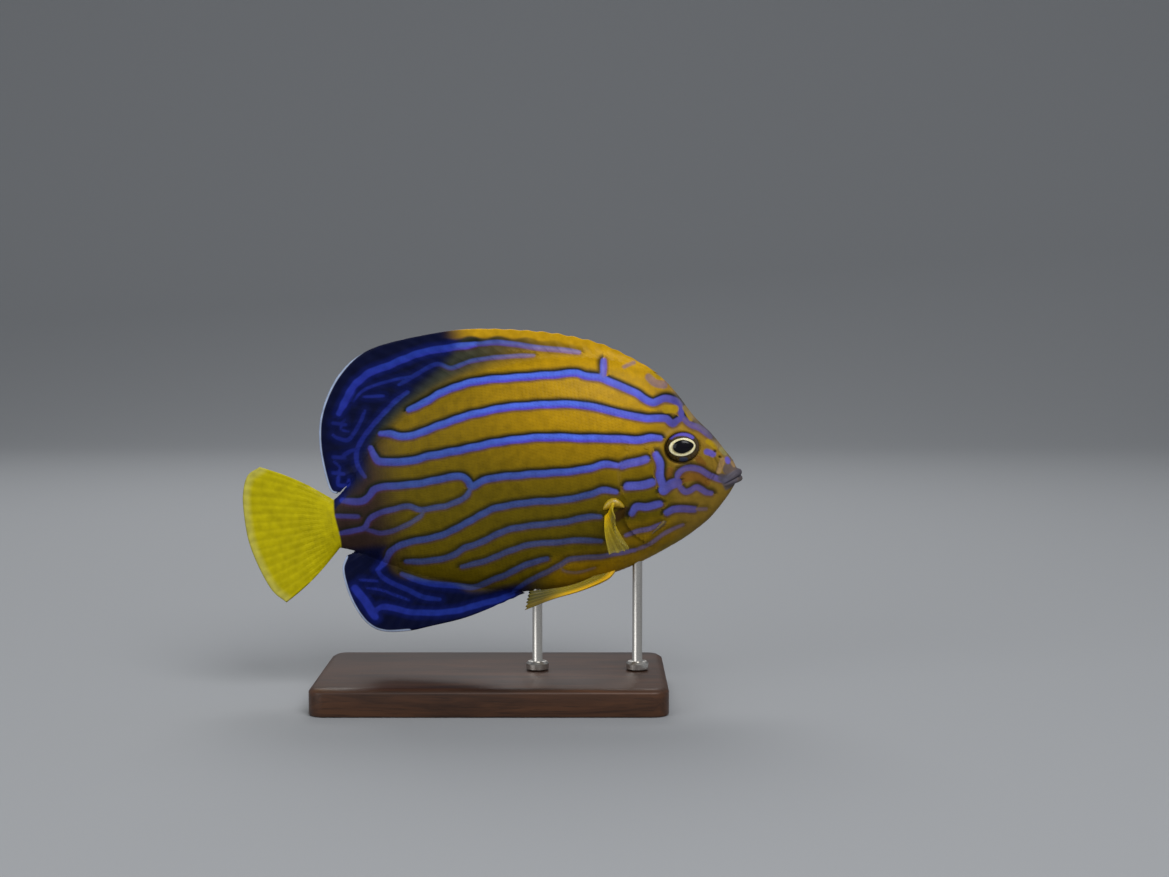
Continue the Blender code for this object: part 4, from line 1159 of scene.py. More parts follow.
toned = add_node(tree, "ShaderNodeHueSaturation", {"Color": colour, "Value": shade.outputs[0]})
tree.links.new(toned.outputs[0], shader.inputs["Base Color"])
gloss = add_node(tree, "ShaderNodeMapRange", {"Value": mottle, "To Min": GLOSSIEST, "To Max": DULLEST})
tree.links.new(gloss.outputs[0], shader.inputs["Roughness"])
bump = add_node(tree, "ShaderNodeBump", {"Height": grain, "Strength": 0.15, "Distance": 0.05 * MM})
tree.links.new(bump.outputs[0], shader.inputs["Normal"])
skin.data.materials.append(skin_paint)
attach(skin, "root")
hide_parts("head", "trunk", "tail_stalk", "dorsal_fin", "anal_fin", "caudal_fin")
print("paint has", len(tree.nodes), "nodes")

# %% [markdown]
# An angelfish is scaled from the face to well out on its fins, in some eighty rows of small rough
# scales. Bump alone would leave the outline smooth, and hair would be lost in the export, so every
# scale is a thin shell: its root is sunk in the skin, and its round free edge lies on the next one
# behind. One scale is modelled from a grid of six faces, then laid out by rule over the unwrapped
# sheet: in staggered rows, smallest on the face, and pointing out along the rays on the fins.

# %% One scale
SCALE_COLUMNS = 3  # faces from its root to its free edge
SCALE_ROWS = 2  # faces across
SCALE_OUT = (0, 0.34, 0.67, 1)  # where its rows of points lie, from root to edge
SCALE_BREADTH = (0.5, 0.95, 1.0, 0.56)  # how broad it is there
SCALE_HEIGHT = (-0.09, 0.02, 0.09, 0.10)  # and how high
SCALE_ROUND = 0.13  # how far its free edge falls back at the sides
SCALE_ARCH = 0.05  # how far its sides bend down
one_scale = new_primitive(bpy.ops.mesh.primitive_grid_add, "one_scale", x_subdivisions=SCALE_COLUMNS,
                          y_subdivisions=SCALE_ROWS, size=1)
scale_points = get_points(one_scale)
scale_faces = np.array([face.vertices[:] for face in one_scale.data.polygons])
out, across = scale_points[:, 0] + 0.5, 2 * scale_points[:, 1]
scale_shape = np.stack([out - SCALE_ROUND * across**2 * smooth_step(0.5, 1, out),
                        across * np.interp(out, SCALE_OUT, SCALE_BREADTH) / 2,
                        np.interp(out, SCALE_OUT, SCALE_HEIGHT) - SCALE_ARCH * across**2], -1)
bpy.data.objects.remove(one_scale)
print("a scale has", len(scale_faces), "faces")

# %% Where the scales grow
ROWS_OF_SCALES = 76  # along the longest section
FLANK_GAP = (1.10, 0.97)  # from scale to scale, lengthwise and across
FACE_GAP = (0.66, 0.60)
FACE_LENGTH = (45, 12)  # how far from the snout the gaps begin to shrink and are smallest
FIN_SCALED = 0.62  # scaled share of the rays' length
SPINES_SCALED = 0.3  # the same on the folded spines
SHORTEST_RAY = 3.0  # no scales on rays shorter than this
LEAST_ROOM = 0.55  # nor this close to the edge of a plate
AMPLE_ROOM = 9.0  # where no edge is near
EDGE_OVERLAP = 0.4  # an edge keeps scales off to this far behind it
GILL_FREE = (-17, 11)  # heights between which the gill cover's edge stands free
CHEEK_FREE = (-13, 10)
TAIL_SCALED_X = -71.0
BARE_EYE = 1.2  # no scales on the eye and its rim: its outline is 1
BARE_NOSTRIL = 1.2
BARE_LIPS = (58.0, -2.5)
BARE_LIPS_RADIUS = 5.2
BARE_MUZZLE_X = 53.5
MARGIN_ROOM = 0.3  # no scales this close to a fin's end row
PLACE_SCATTER = 0.10  # how far a root strays, in columns and rows
SEED = 7


def between(grid, column, row):
    """Values of a grid between its points."""
    c = np.clip(np.floor(column).astype(int), 0, grid.shape[0] - 2)
    r = np.clip(np.floor(row).astype(int), 0, grid.shape[1] - 2)
    s, t = (column - c)[:, None], (row - r)[:, None]
    return ((grid[c, r] * (1 - s) + grid[c + 1, r] * s) * (1 - t)
            + (grid[c, r + 1] * (1 - s) + grid[c + 1, r + 1] * s) * t)


def scale_stations():
    """Column and row of each scale's root on the sheet, and the gaps there."""
    middle = ANAL_ROWS + ROWS // 2
    travelled = -flat[:, middle, 0]
    found = []
    at, station = 1.0, 0
    while at < travelled[-1]:
        face = smooth_step(*FACE_LENGTH, at)
        gap = FLANK_GAP[0] + (FACE_GAP[0] - FLANK_GAP[0]) * face
        column = np.interp(at, travelled, np.arange(len(travelled)))
        near = int(column)
        rows = np.flatnonzero(kept[near] & kept[min(near + 1, len(kept) - 1)])
        heights = flat[near, rows, 1]
        girth = np.ptp(flat[near, ANAL_ROWS:ANAL_ROWS + ROWS + 1, 1])
        across = np.clip(girth / ROWS_OF_SCALES, FACE_GAP[1], FLANK_GAP[1])
        count = int(max(abs(heights[0]), heights[-1]) / across) + 1
        places = (np.arange(-count, count + 1) + 0.5 * (station % 2)) * across
        places = places[(places > heights[0] + MARGIN_ROOM) & (places < heights[-1] - MARGIN_ROOM)]
        row = np.interp(places, heights, rows)
        found.append(np.stack(np.broadcast_arrays(column, row, gap, across), -1))
        at += gap
        station += 1
    return np.vstack(found)


def bare(points):
    """True where no scale grows: eye, lips, nostrils and the outer part of the tail fin."""
    x, _, z = points.T
    outside = (eye_share(x, z) < BARE_EYE) | (x < TAIL_SCALED_X)
    outside |= (x > BARE_MUZZLE_X) & (far_from(x, z, BARE_LIPS) < BARE_LIPS_RADIUS)
    for place in NOSTRILS:
        outside |= far_from(x, z, place) < BARE_NOSTRIL
    return outside


def room_behind(points):
    """Distance from each point back to the next free edge of a plate of the head."""
    x, _, z = points.T
    room = np.full(len(x), AMPLE_ROOM)
    for edge_x, (low, high) in ((gill_x(z), GILL_FREE), (cheek_x(z), CHEEK_FREE)):
        ahead = np.where((z > low) & (z < high) & (x > edge_x - EDGE_OVERLAP), x - edge_x, AMPLE_ROOM)
        room = np.minimum(room, ahead)
    return room


stations = scale_stations()
rng = np.random.default_rng(SEED)
stations[:, :2] += rng.normal(0, PLACE_SCATTER, (len(stations), 2))
column, row = stations[:, :2].T
root = between(sheet, column, row)
tailward = between(sheet, column + 0.5, row) - between(sheet, column - 0.5, row)
upward_step = between(sheet, column, row + 0.5) - between(sheet, column, row - 0.5)
flank_low, flank_high = ANAL_ROWS, ANAL_ROWS + ROWS
fin_out = np.maximum((row - flank_high) / DORSAL_ROWS, (flank_low - row) / ANAL_ROWS)
above = flat[np.round(column).astype(int)]
ray_length = np.where(row > flank_high - 1, above[:, -1, 1] - above[:, flank_high, 1], SHORTEST_RAY)
room = room_behind(np.nan_to_num(root))
scaled = np.interp(root[:, 0], (-20, 0), (FIN_SCALED, SPINES_SCALED))
grows = ~np.isnan(root + tailward + upward_step).any(1) & ~bare(np.nan_to_num(root)) & (room > LEAST_ROOM)
grows &= (fin_out < scaled) & ~(ray_length < SHORTEST_RAY)
root, tailward, upward_step, gaps, fin_out, column, row, room = (
    values[grows] for values in (root, tailward, upward_step, stations[:, 2:], fin_out, column, row, room))
print(len(root), "scales on a side")

# %% Lay the scales
SCALE_SIZE = (1.75, 1.15)  # length and breadth in gaps, so that scales overlap
SCALE_LIFT = 0.85  # millimetres of height for each unit of the scale's own
PATCH = 0.003  # a scale's patch on the map of the skin
SIZE_SCATTER = (0.92, 1.08)
LIFT_SCATTER = (0.85, 1.15)
FIN_TURN = 1.4  # how strongly a scale on a fin points out along the rays
FIN_SMALLER = 0.25  # share of their size that scales lose out on a fin
FIN_FLATTER = 0.5  # and of their lift


def unit(vectors):
    """Vectors of length 1."""
    return vectors / np.linalg.norm(vectors, axis=-1, keepdims=True)


normal = unit(np.cross(upward_step, tailward))
normal *= np.sign(normal[:, 1:2])
outward = unit(upward_step) * np.where(row > (flank_low + flank_high) / 2, 1, -1)[:, None]
lie = unit(unit(tailward) + outward * (FIN_TURN * smooth_step(-0.05, 0.25, fin_out))[:, None])
lie = unit(lie - normal * (lie * normal).sum(1, keepdims=True))
beside = np.cross(normal, lie)
sizes = gaps * rng.uniform(*SIZE_SCATTER, (len(root), 1)) * SCALE_SIZE
sizes *= (1 - FIN_SMALLER * smooth_step(0, FIN_SCALED, fin_out))[:, None]
sizes[:, 0] = np.minimum(sizes[:, 0], room)
lift = SCALE_LIFT * rng.uniform(*LIFT_SCATTER, len(root)) * gaps[:, 0] / FLANK_GAP[0]
lift *= 1 - FIN_FLATTER * smooth_step(-0.1, 0.1, fin_out)
coat = (root[:, None]
        + lie[:, None] * (scale_shape[:, 0, None] * sizes[:, None, :1])
        + beside[:, None] * (scale_shape[:, 1, None] * sizes[:, None, 1:])
        + normal[:, None] * (scale_shape[:, 2, None] * lift[:, None, None]))
root_spot = between(flat, column, row) / UNWRAP_SIZE + SNOUT_SPOT
for word, side in SIDES:
    points = (coat * (1, side, 1)).reshape(-1, 3)
    faces = (scale_faces[None] + len(scale_shape) * np.arange(len(root))[:, None, None]).reshape(-1, 4)
    mesh = bpy.data.meshes.new("scales_" + word)
    mesh.from_pydata(points.tolist(), [], (faces if side > 0 else faces[:, ::-1]).tolist())
    scales = bpy.data.objects.new("scales_" + word, mesh)
    bpy.context.collection.objects.link(scales)
    fields = colour_fields(points)
    fields["scale_out"] = np.tile(scale_shape[:, 0], len(root))
    fields["ray"] = np.full(len(points), 0.5)
    give_fields(scales, fields)
    spot = root_spot + (0, 0 if side > 0 else OTHER_SIDE)
    give_map(scales, (spot[:, None] + (scale_shape[:, :2] - (0.5, 0)) * PATCH).reshape(-1, 2))
    set_points(scales, to_world(points))
    mesh.polygons.foreach_set("use_smooth", np.ones(len(faces), bool))
    mesh.materials.append(skin_paint)
    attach(scales, "root")
    print(scales.name, len(faces), "faces")

# %% [markdown]
# A taxidermist's fish eye is a glass dome painted from behind. The dome here is a sphere whose poles
# look sideways, so that its rings of faces lie round the pupil. The pupil of this fish is drawn out
# towards the snout, in a thin cream ring, and the rest of the iris is dark brown under a violet arc.
# A shallow groove round the pupil catches the light and makes the lens stand out.

# %% Eyes
PUPIL = (682.8, 445.5)
PUPIL_RADII = (3.0, 2.0)
RING = (682.1, 446.1)
RING_RADII = (3.95, 2.65)
EYE_ARC = ((670.7, 436.8), (674.1, 434.2), (678.8, 433.0), (683.6, 432.8), (688.3, 433.8), (692.0, 436.0))
EYE_SPOT = ((681.6, 458.8), (685.6, 458.6))
PUPIL_POINT = (0.25, 0.22)  # how far its front is drawn out, and by what share narrowed
GROOVE = 0.10  # depth of the groove, and rise of the lens inside it
GROOVE_AT = (1.05, 0.10)  # its middle and width: the pupil's outline is 1
pupil_spot, ring_spot = seen_on_flank((PUPIL, RING))
arc_line, low_line = (smooth_line(seen_on_flank(route), 6) for route in (EYE_ARC, EYE_SPOT))


def side_sphere(name, segments, rings):
    """A smooth sphere of radius 1 whose poles look sideways."""
    sphere = new_primitive(bpy.ops.mesh.primitive_uv_sphere_add, name, segments=segments,
                           ring_count=rings, radius=1, rotation=(math.pi / 2, 0, 0))
    bpy.ops.object.transform_apply(rotation=True)
    bpy.ops.object.shade_smooth()
    return sphere


eyes = []
for word, side in SIDES:
    eye = side_sphere("glass_eye_" + word, 96, 64)
    points = get_points(eye) * EYE_RADII
    middle_y = side * (flank_y(*EYE) - EYE_INSET)
    points += (EYE[0], middle_y, EYE[1])
    x, z = points[:, 0], points[:, 2]
    forward = np.clip((x - pupil_spot[0]) / PUPIL_RADII[0], 0, 1)
    pupil = np.hypot((x - pupil_spot[0]) / (PUPIL_RADII[0] + PUPIL_POINT[0] * forward),
                     (z - pupil_spot[1]) / (PUPIL_RADII[1] * (1 - PUPIL_POINT[1] * forward)))
    ring = np.hypot((x - ring_spot[0]) / RING_RADII[0], (z - ring_spot[1]) / RING_RADII[1])
    outer_side = side * (points[:, 1] - middle_y) > 0
    groove = smooth_step(1.0, 0.7, pupil) - bell(pupil, *GROOVE_AT)
    points[:, 1] += side * GROOVE * groove * outer_side
    set_points(eye, to_world(points))
    give_fields(eye, {"pupil": pupil, "ring": ring, "rim": eye_share(x, z),
                      "arc": near_line(x, z, arc_line), "low_spot": near_line(x, z, low_line)})
    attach(eye, "root")
    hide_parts("eye_" + word)
    eyes.append(eye)
print("pupil looks out at", pupil_spot.round(1))

# %% Painted glass of the eyes
eye_glass, tree, shader = new_material("painted_glass_eye", Roughness=0.2, IOR=1.4, Coat_Weight=0.3,
                                       Coat_IOR=1.33, Coat_Roughness=0.03, Specular_IOR_Level=0.2)
FLECK = 0.5 * MM
fleck = grains(tree, FLECK, detail=3.0)
cream = paint_over(tree, "#cec288", ((fleck, 0.3, 0.7, 1.0, "#f4ecc6", EVEN),))
colour = paint_over(tree, "#342612", (
    (fleck, 0.35, 0.7, 1.0, "#5a4826", EVEN),
    ("arc", 0.85, 0.35, 0.95, "#5c52b4"),
    ("low_spot", 0.95, 0.4, 0.8, "#34405e"),
    ("rim", 0.92, 1.0, 0.7, "#120e0c"),
    ("ring", 1.12, 1.04, 0.8, "#1c1410"),
    ("ring", 1.03, 0.96, 1.0, cream),
    ("ring", 0.84, 0.76, 0.6, "#4c3c18"),
    ("pupil", 1.04, 0.97, 1.0, "#030206"),
    ("pupil", 0.8, 0.1, 0.3, "#0c0616"),
))
tree.links.new(colour, shader.inputs["Base Color"])
for eye in eyes:
    eye.data.materials.append(eye_glass)
print("eye glass has", len(tree.nodes), "nodes")

# %% [markdown]
# Every marine angelfish carries a spine at the lower corner of its cheek plate. It is bare bone, pale
# and smooth, and lies back along the skin. A cone is tapered to a blunt point and given a slight bend.

# %% Cheek spines
CHEEK_SPINE_ROOT = (37.0, -11.0)
CHEEK_SPINE_TIP = (31.9, -14.8)
CHEEK_SPINE_RADIUS = 0.8
CHEEK_SPINE_SUNK = 1.0
CHEEK_SPINE_PROUD = 0.6
SPINE_POINT = 0.14  # radius of its tip, as a share of its root's
SPINE_BEND = 0.25
BONE_STREAK = 0.6 * MM
spine_bone, tree, shader = new_material("bare_fish_bone", Roughness=0.35, Subsurface_Weight=0.15,
                                        Subsurface_Scale=0.8 * MM)
streak = grains(tree, BONE_STREAK, detail=3.0)
colour = paint_over(tree, "#4c4024", ((streak, 0.3, 0.7, 1.0, "#6e5c30", EVEN),))
tree.links.new(colour, shader.inputs["Base Color"])
for word, side in SIDES:
    spine = new_primitive(bpy.ops.mesh.primitive_cone_add, "cheek_spine_" + word, vertices=24,
                          radius1=1, radius2=SPINE_POINT, depth=1, location=(0, 0, 0.5))
    bpy.ops.object.transform_apply(location=True)
    bpy.ops.object.mode_set(mode="EDIT")
    bpy.ops.mesh.select_all(action="SELECT")
    bpy.ops.mesh.subdivide(number_cuts=5)
    bpy.ops.object.mode_set(mode="OBJECT")
    ends = []
    for (x, z), proud in ((CHEEK_SPINE_ROOT, -CHEEK_SPINE_SUNK), (CHEEK_SPINE_TIP, CHEEK_SPINE_PROUD)):
        stands = float(flank_y(x, z) + head_relief(np.array([x]), np.array([z]))[0])
        ends.append(Vector((x, side * (stands + proud), z)))
    reach = ends[1] - ends[0]
    turn = np.array(reach.to_track_quat("Z", "Y").to_matrix())
    shape = get_points(spine)
    points = np.array(ends[0]) + shape * (CHEEK_SPINE_RADIUS, CHEEK_SPINE_RADIUS, reach.length) @ turn.T
    points[:, 1] += side * SPINE_BEND * np.sin(math.pi * np.clip(shape[:, 2], 0, 1))
    set_points(spine, to_world(points))
    select_only(spine)
    bpy.ops.object.shade_smooth_by_angle(angle=math.radians(50))
    spine.data.materials.append(spine_bone)
    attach(spine, "root")
print("spine length", round(reach.length, 1), "mm")

# %% [markdown]
# A pectoral fin is a fan of sixteen rays on a fleshy yellow lobe. On a cast fish it is thin clear resin,
# tinted yellow, with the rays as fine ridges, and it fades to almost nothing at its margin. The fan is
# a grid whose columns follow the rays. Solidify gives it its wall, thicker where a vertex group says:
# at the root and on the rays.

# %% Pectoral and pelvic fins
PECTORAL_ROOT = ((22.4, -3.2), (19.4, -6.6))
PECTORAL_SUNK = 1.6
PECTORAL_RAYS = 16
PECTORAL_LENGTH = 15.6
PECTORAL_DROP = (12.0, 44.0)  # degrees below the horizontal, first ray to last
PECTORAL_LEAN = (-0.05, 0.26)  # forward, as a share of a ray's length: the end rays, and the most
PECTORAL_BOW = 0.9  # how far the rays' middles are bent back
PECTORAL_ROOT_THICKNESS = 1.2
PELVIC_FIRST_RAY = (  # from its root in the belly to its tip
    (20.2, 1.2, -25.0), (17.2, 2.8, -27.4), (9.0, 5.0, -29.5), (0.3, 6.4, -30.8), (-8.4, 7.4, -32.9),
)
PELVIC_LAST_RAY = (
    (15.4, 1.2, -25.4), (11.5, 2.8, -26.7), (5.5, 4.2, -27.8), (-1.0, 5.0, -27.9), (-6.4, 5.4, -27.7),
)
PELVIC_RAYS = 6
PELVIC_ROOT_THICKNESS = 1.6
FRINGE = 0.02  # how far the skin falls back between two ray tips, as a share of their length


def pectoral_place(across, out, side):
    """Points of a pectoral fin: across from its first ray to its last, out from root to tip."""
    first, last = (np.array(point) for point in PECTORAL_ROOT)
    x, z = (first[axis] + (last[axis] - first[axis]) * across for axis in (0, 1))
    drop = np.radians(PECTORAL_DROP[0] + (PECTORAL_DROP[1] - PECTORAL_DROP[0]) * np.sqrt(across))
    lean = PECTORAL_LEAN[0] + (PECTORAL_LEAN[1] - PECTORAL_LEAN[0]) * np.sin(math.pi * across**2.6)
    reach = PECTORAL_SUNK + PECTORAL_LENGTH * (0.80 + 0.20 * np.sin(math.pi * (0.15 + 0.65 * across)))
    travel = out * reach
    return np.stack([x + travel * lean - PECTORAL_BOW * np.sin(math.pi * out**0.8),
                     side * (flank_y(x, z) - PECTORAL_SUNK + travel * np.cos(drop)),
                     z - travel * np.sin(drop)], -1)


def pelvic_place(across, out, side):
    """Points of a pelvic fin, laid between its first and last ray."""
    first, last = along(PELVIC_FIRST_RAY)(out), along(PELVIC_LAST_RAY)(out)
    return (first + (last - first) * across[:, None]) * (1, side, 1)


def paired_fin(node, side, place, rays, root_thickness, gap_faces, rows):
    """A fan of rays as a closed thin sheet, with its fields."""
    fin = new_primitive(bpy.ops.mesh.primitive_grid_add, "resin_" + node,
                        x_subdivisions=gap_faces * (rays - 1), y_subdivisions=rows, size=2)
    start = get_points(fin)
    across, out = (start[:, 0] + 1) / 2, (start[:, 1] + 1) / 2
    ray = ray_share(across, rays)
    fringe = 1 - FRINGE * (1 - ray) * smooth_step(0.8, 1, out)
    set_points(fin, place(across, out * fringe, side))
    thin, thick = 2 * WEB, 1.7 * RAY
    web = thin + (0.8 * root_thickness - thin) * (1 - out) ** 3
    ridge = thick + (root_thickness - thick) * (1 - out) ** 2
    ends = rounded(np.minimum(across, 1 - across) * gap_faces * (rays - 1) / 3 + 0.35)
    thickness = (web + (ridge - web) * ray) * ends * (0.35 + 0.65 * rounded((1 - out) * 12))
    group = fin.vertex_groups.new(name="thickness")
    for index, weight in enumerate(thickness / root_thickness):
        group.add([index], float(np.clip(weight, 0, 1)), "REPLACE")
    give_fields(fin, {"ray": ray, "out": out, "across": across})
    wall = fin.modifiers.new("wall", "SOLIDIFY")
    wall.thickness = root_thickness
    wall.offset = 0
    wall.vertex_group = group.name
    wall.use_even_offset = False
    select_only(fin)
    bpy.ops.object.modifier_apply(modifier=wall.name)
    bpy.ops.object.mode_set(mode="EDIT")
    bpy.ops.mesh.select_all(action="SELECT")
    bpy.ops.mesh.normals_make_consistent(inside=False)
    bpy.ops.object.mode_set(mode="OBJECT")
    bpy.ops.object.shade_smooth()
    set_points(fin, to_world(get_points(fin)))
    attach(fin, "root")
    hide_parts(node)
    return fin


pectorals, pelvics = [], []
for word, side in SIDES:
    pectorals.append(paired_fin("pectoral_fin_" + word, side, pectoral_place, PECTORAL_RAYS,
                                PECTORAL_ROOT_THICKNESS, 6, 30))
    pelvics.append(paired_fin("pelvic_fin_" + word, side, pelvic_place, PELVIC_RAYS,
                              PELVIC_ROOT_THICKNESS, 10, 36))
print("pectoral", len(pectorals[0].data.polygons), "faces, pelvic", len(pelvics[0].data.polygons), "faces")

# %% Tinted resin of the paired fins
RESIN_MOTTLE = 1.2 * MM
CLEAREST = 0.42  # how much of the pectoral's skin is left at its margin
RESINS = (  # material, slot, fins, tint, and the layers over it: field, begins, full, strength, colour
    ("clear_yellow_resin_fin", "yellow_fin", pectorals, "#c0a610", (
        ("out", 0.45, 0.1, 0.9, "#e0b404"),
        ("out", 0.4, 1.0, 0.65, "#867e40"),
        ("ray", 0.6, 1.0, 0.2, "#cab838"))),
    ("tinted_resin_pelvic_fin", "pelvic_fin", pelvics, "#8a7808", (
        ("across", 0.5, 0.15, 0.95, "#e0ae04"),
        ("out", 0.45, 0.85, 0.9, "#36340f"),
        ("ray", 0.6, 1.0, 0.15, "#a08c28"))),
)
for name, slot, fins, tint, layers in RESINS:
    material, tree, shader = new_material(name, Roughness=0.35, Coat_Weight=0.12, Coat_Roughness=0.2,
                                          Specular_IOR_Level=0.2)
    mottle = grains(tree, RESIN_MOTTLE)
    colour = paint_over(tree, tint, ((mottle, 0.3, 0.7, 0.3, "#6e5c08", EVEN), *layers))
    tree.links.new(colour, shader.inputs["Base Color"])
    if fins is pectorals:
        clear = add_node(tree, "ShaderNodeMapRange", {"Value": "out", "From Min": 0.35, "To Min": 1.0,
                                                      "To Max": CLEAREST}).outputs[0]
        on_ray = add_node(tree, "ShaderNodeMath", {0: clear, 1: mask(tree, 0.25, ("ray", 0.5, 1.0))},
                          operation="ADD", use_clamp=True)
        tree.links.new(on_ray.outputs[0], shader.inputs["Alpha"])
    for fin in fins:
        fin.data.materials.append(material)
print("resin fins", len(pectorals) + len(pelvics))

# %% [markdown]
# The pectoral's fleshy lobe is a short thick muscle under scaled yellow skin. It is a sphere flattened
# against the flank and bent to an arch, which the fin hangs from.

# %% Lobes of the pectoral fins
LOBE = (21.6, -3.9)
LOBE_RADII = (3.2, 1.2, 1.45)
LOBE_PROUD = 0.55
LOBE_SAG = 1.5  # how far its two ends hang
LOBE_MOTTLE = 0.8 * MM
lobe_skin, tree, shader = new_material("yellow_oil_paint", Roughness=0.42, Coat_Weight=0.25,
                                       Coat_Roughness=0.2)
mottle = grains(tree, LOBE_MOTTLE, detail=3.0)
colour = paint_over(tree, "#8e7806", ((mottle, 0.3, 0.7, 1.0, "#b89604", EVEN),))
tree.links.new(colour, shader.inputs["Base Color"])
for word, side in SIDES:
    lobe = side_sphere("pectoral_lobe_" + word, 48, 32)
    points = get_points(lobe) * LOBE_RADII
    points[:, 2] -= LOBE_SAG * (points[:, 0] / LOBE_RADII[0]) ** 2
    points += (LOBE[0], side * (flank_y(*LOBE) + LOBE_PROUD - LOBE_RADII[1] / 2), LOBE[1])
    set_points(lobe, to_world(points))
    lobe.data.materials.append(lobe_skin)
    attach(lobe, "root")
print("lobe spans", LOBE_RADII[0] * 2, "mm")

# %% [markdown]
# The stand is the museum's, not the fish's: an oiled walnut board and two steel rods, which reach into
# the belly. The board is a cube with round corners and a small cove run round its top edge. Inset and
# bevel make that as a router would.

# %% Board of the stand
low, high = (np.array(corner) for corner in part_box("stand_base"))
BOARD_CORNER = 5.0 * MM
BOARD_EDGE = 0.45 * MM
COVE_WIDTH = 1.6 * MM
COVE_DEPTH = 0.9 * MM
board = new_primitive(bpy.ops.mesh.primitive_cube_add, "stand_board", size=1, location=(low + high) / 2)
board.scale = high - low
bpy.ops.object.transform_apply(location=True, scale=True)
select_edges(board, lambda a, b: abs(a.z - b.z) > 0.5 * (high[2] - low[2]))
bpy.ops.mesh.bevel(offset=BOARD_CORNER, segments=10)
bpy.ops.mesh.select_mode(type="FACE")
bpy.ops.mesh.select_all(action="DESELECT")
edited = bmesh.from_edit_mesh(board.data)
for face in edited.faces:
    if face.normal.z > 0.9:
        face.select = True
bmesh.update_edit_mesh(board.data)
bpy.ops.mesh.inset(thickness=COVE_WIDTH)
bpy.ops.object.mode_set(mode="OBJECT")
for vertex in board.data.vertices:
    if vertex.co.z > high[2] - 1e-6 and not vertex.select:
        vertex.co.z -= COVE_DEPTH
edge_round = board.modifiers.new("eased_edges", "BEVEL")
edge_round.width = BOARD_EDGE
edge_round.segments = 3
edge_round.limit_method = "ANGLE"
select_only(board)
bpy.ops.object.modifier_apply(modifier=edge_round.name)
bpy.ops.object.shade_smooth_by_angle(angle=math.radians(35))
print("board", ((high - low) / MM).round(1), "mm,", len(board.data.polygons), "faces")

# %% [markdown]
# Walnut is dark brown with a long, uneven figure. A noise drawn out along the board gives the figure,
# a second one drawn out far more gives the pores, and the oil leaves it just glossy.

# %% Oiled walnut
walnut, tree, shader = new_material("oiled_walnut", Roughness=0.45, Coat_Weight=0.06, Coat_Roughness=0.3,
                                    Specular_IOR_Level=0.3)
FIGURE = 5 * MM
PORE = 0.3 * MM
figure = grains(tree, FIGURE, 6.0, (0.1, 1.0, 1.0), Roughness=0.6, Distortion=1.2)
pores = grains(tree, PORE, 2.0, (0.04, 1.0, 1.0))
colour = paint_over(tree, "#2c1a10", (
    (figure, 0.36, 0.64, 1.0, "#4a2e1c", EVEN),
    (pores, 0.58, 0.68, 0.5, "#1a0f09", EVEN),
))
tree.links.new(colour, shader.inputs["Base Color"])
bump = add_node(tree, "ShaderNodeBump", {"Height": mask(tree, 1.0, (pores, 0.68, 0.58)), "Strength": 0.15,
                                         "Distance": 0.05 * MM})
tree.links.new(bump.outputs[0], shader.inputs["Normal"])
board.data.materials.append(walnut)
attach(board, "root")
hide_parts("stand_base")
print("walnut has", len(tree.nodes), "nodes")

# %% [markdown]
# A rod and its collar are turned from one bar. Half the section is drawn as a line of points and spun
# round the rod's axis, which is how a lathe would leave it, with small chamfers. The steel is stainless
# and fine-brushed round the bar, so its gloss comes and goes in thin rings.

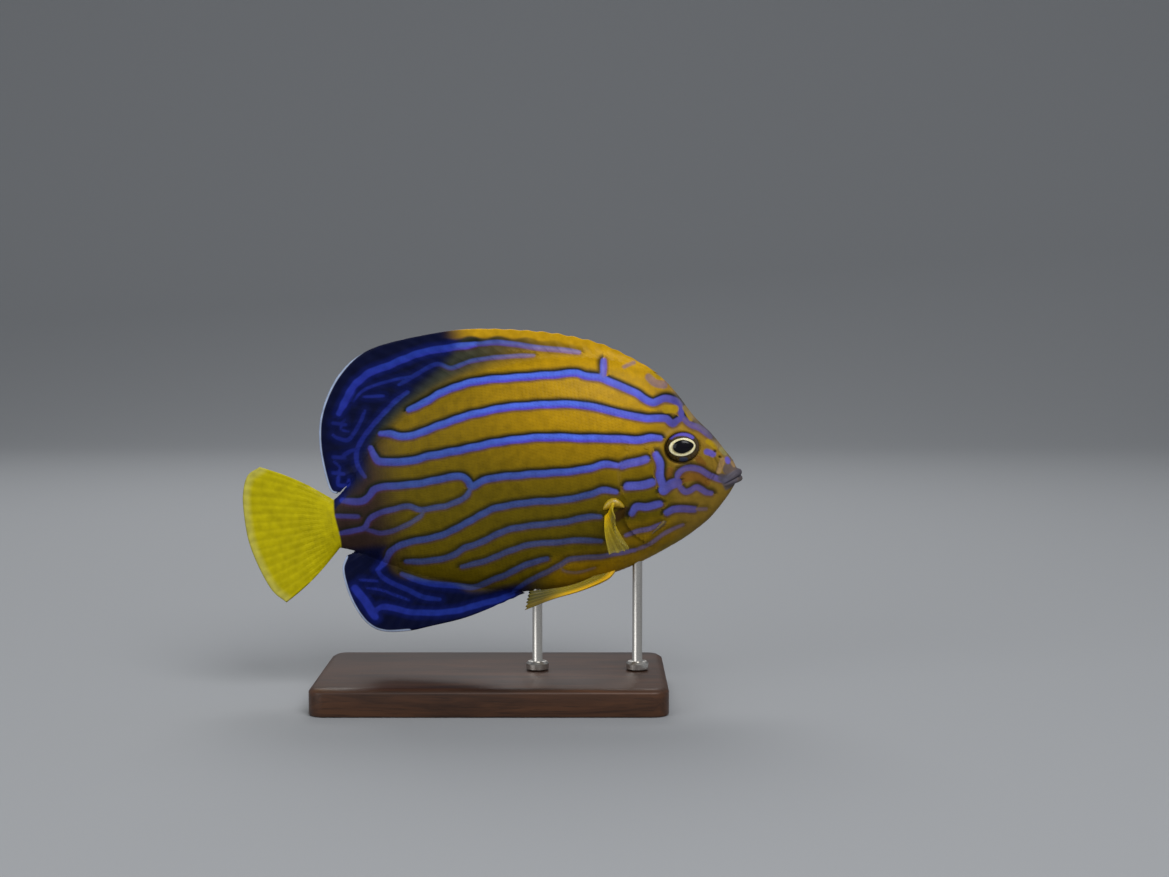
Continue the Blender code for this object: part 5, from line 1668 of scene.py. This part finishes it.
# %% Rods
steel, tree, shader = new_material("brushed_stainless_steel", Metallic=1.0, Roughness=0.28, Anisotropic=0.5)
BRUSH = 0.4 * MM
brushed = grains(tree, BRUSH, 3.0, (1.0, 1.0, 8.0))
colour = paint_over(tree, "#b4b0aa", ((brushed, 0.0, 1.0, 1.0, "#cfccc6", EVEN),))
tree.links.new(colour, shader.inputs["Base Color"])
gloss = add_node(tree, "ShaderNodeMapRange", {"Value": brushed, "To Min": 0.22, "To Max": 0.36})
tree.links.new(gloss.outputs[0], shader.inputs["Roughness"])
ROD_RADIUS = 1.5
COLLAR_RADIUS = 3.4
COLLAR_HEIGHT = 2.4
FOOT_CHAMFER = 0.2
TOP_CHAMFER = 0.6
FILLET = 0.35  # between collar and rod
FILLET_MIDDLE = 0.1
BELLY_REACH = 1.5  # how far the rods go on into the body
TURNING_STEPS = 64
for name in ("stand_rod_front", "stand_rod_rear"):
    low, high = (np.array(corner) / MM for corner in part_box(name))
    axis_x, foot, top = (low[0] + high[0]) / 2, low[2], high[2] + BELLY_REACH
    brim = foot + COLLAR_HEIGHT
    section = ((0, foot), (COLLAR_RADIUS - FOOT_CHAMFER, foot), (COLLAR_RADIUS, foot + FOOT_CHAMFER),
               (COLLAR_RADIUS, brim - TOP_CHAMFER), (COLLAR_RADIUS - TOP_CHAMFER, brim),
               (ROD_RADIUS + FILLET, brim), (ROD_RADIUS + FILLET_MIDDLE, brim + FILLET_MIDDLE),
               (ROD_RADIUS, brim + FILLET), (ROD_RADIUS, top), (0, top))
    rod = new_primitive(bpy.ops.mesh.primitive_plane_add, name.replace("stand_", "stand_steel_"), size=1)
    bpy.ops.object.mode_set(mode="EDIT")
    edited = bmesh.from_edit_mesh(rod.data)
    edited.clear()
    corners = [edited.verts.new((radius * MM + axis_x * MM, 0, height * MM)) for radius, height in section]
    for first, second in zip(corners, corners[1:]):
        edited.edges.new((first, second))
    bmesh.update_edit_mesh(rod.data)
    bpy.ops.mesh.select_all(action="SELECT")
    bpy.ops.mesh.spin(steps=TURNING_STEPS, angle=2 * math.pi, center=(axis_x * MM, 0, 0), axis=(0, 0, 1))
    bpy.ops.mesh.select_all(action="SELECT")
    bpy.ops.mesh.remove_doubles(threshold=1e-6)
    bpy.ops.mesh.normals_make_consistent(inside=False)
    bpy.ops.object.mode_set(mode="OBJECT")
    bpy.ops.object.shade_smooth_by_angle(angle=math.radians(30))
    rod.data.materials.append(steel)
    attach(rod, "root")
    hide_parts(name)
    print(rod.name, len(rod.data.polygons), "faces, top at", round(top, 1), "mm")
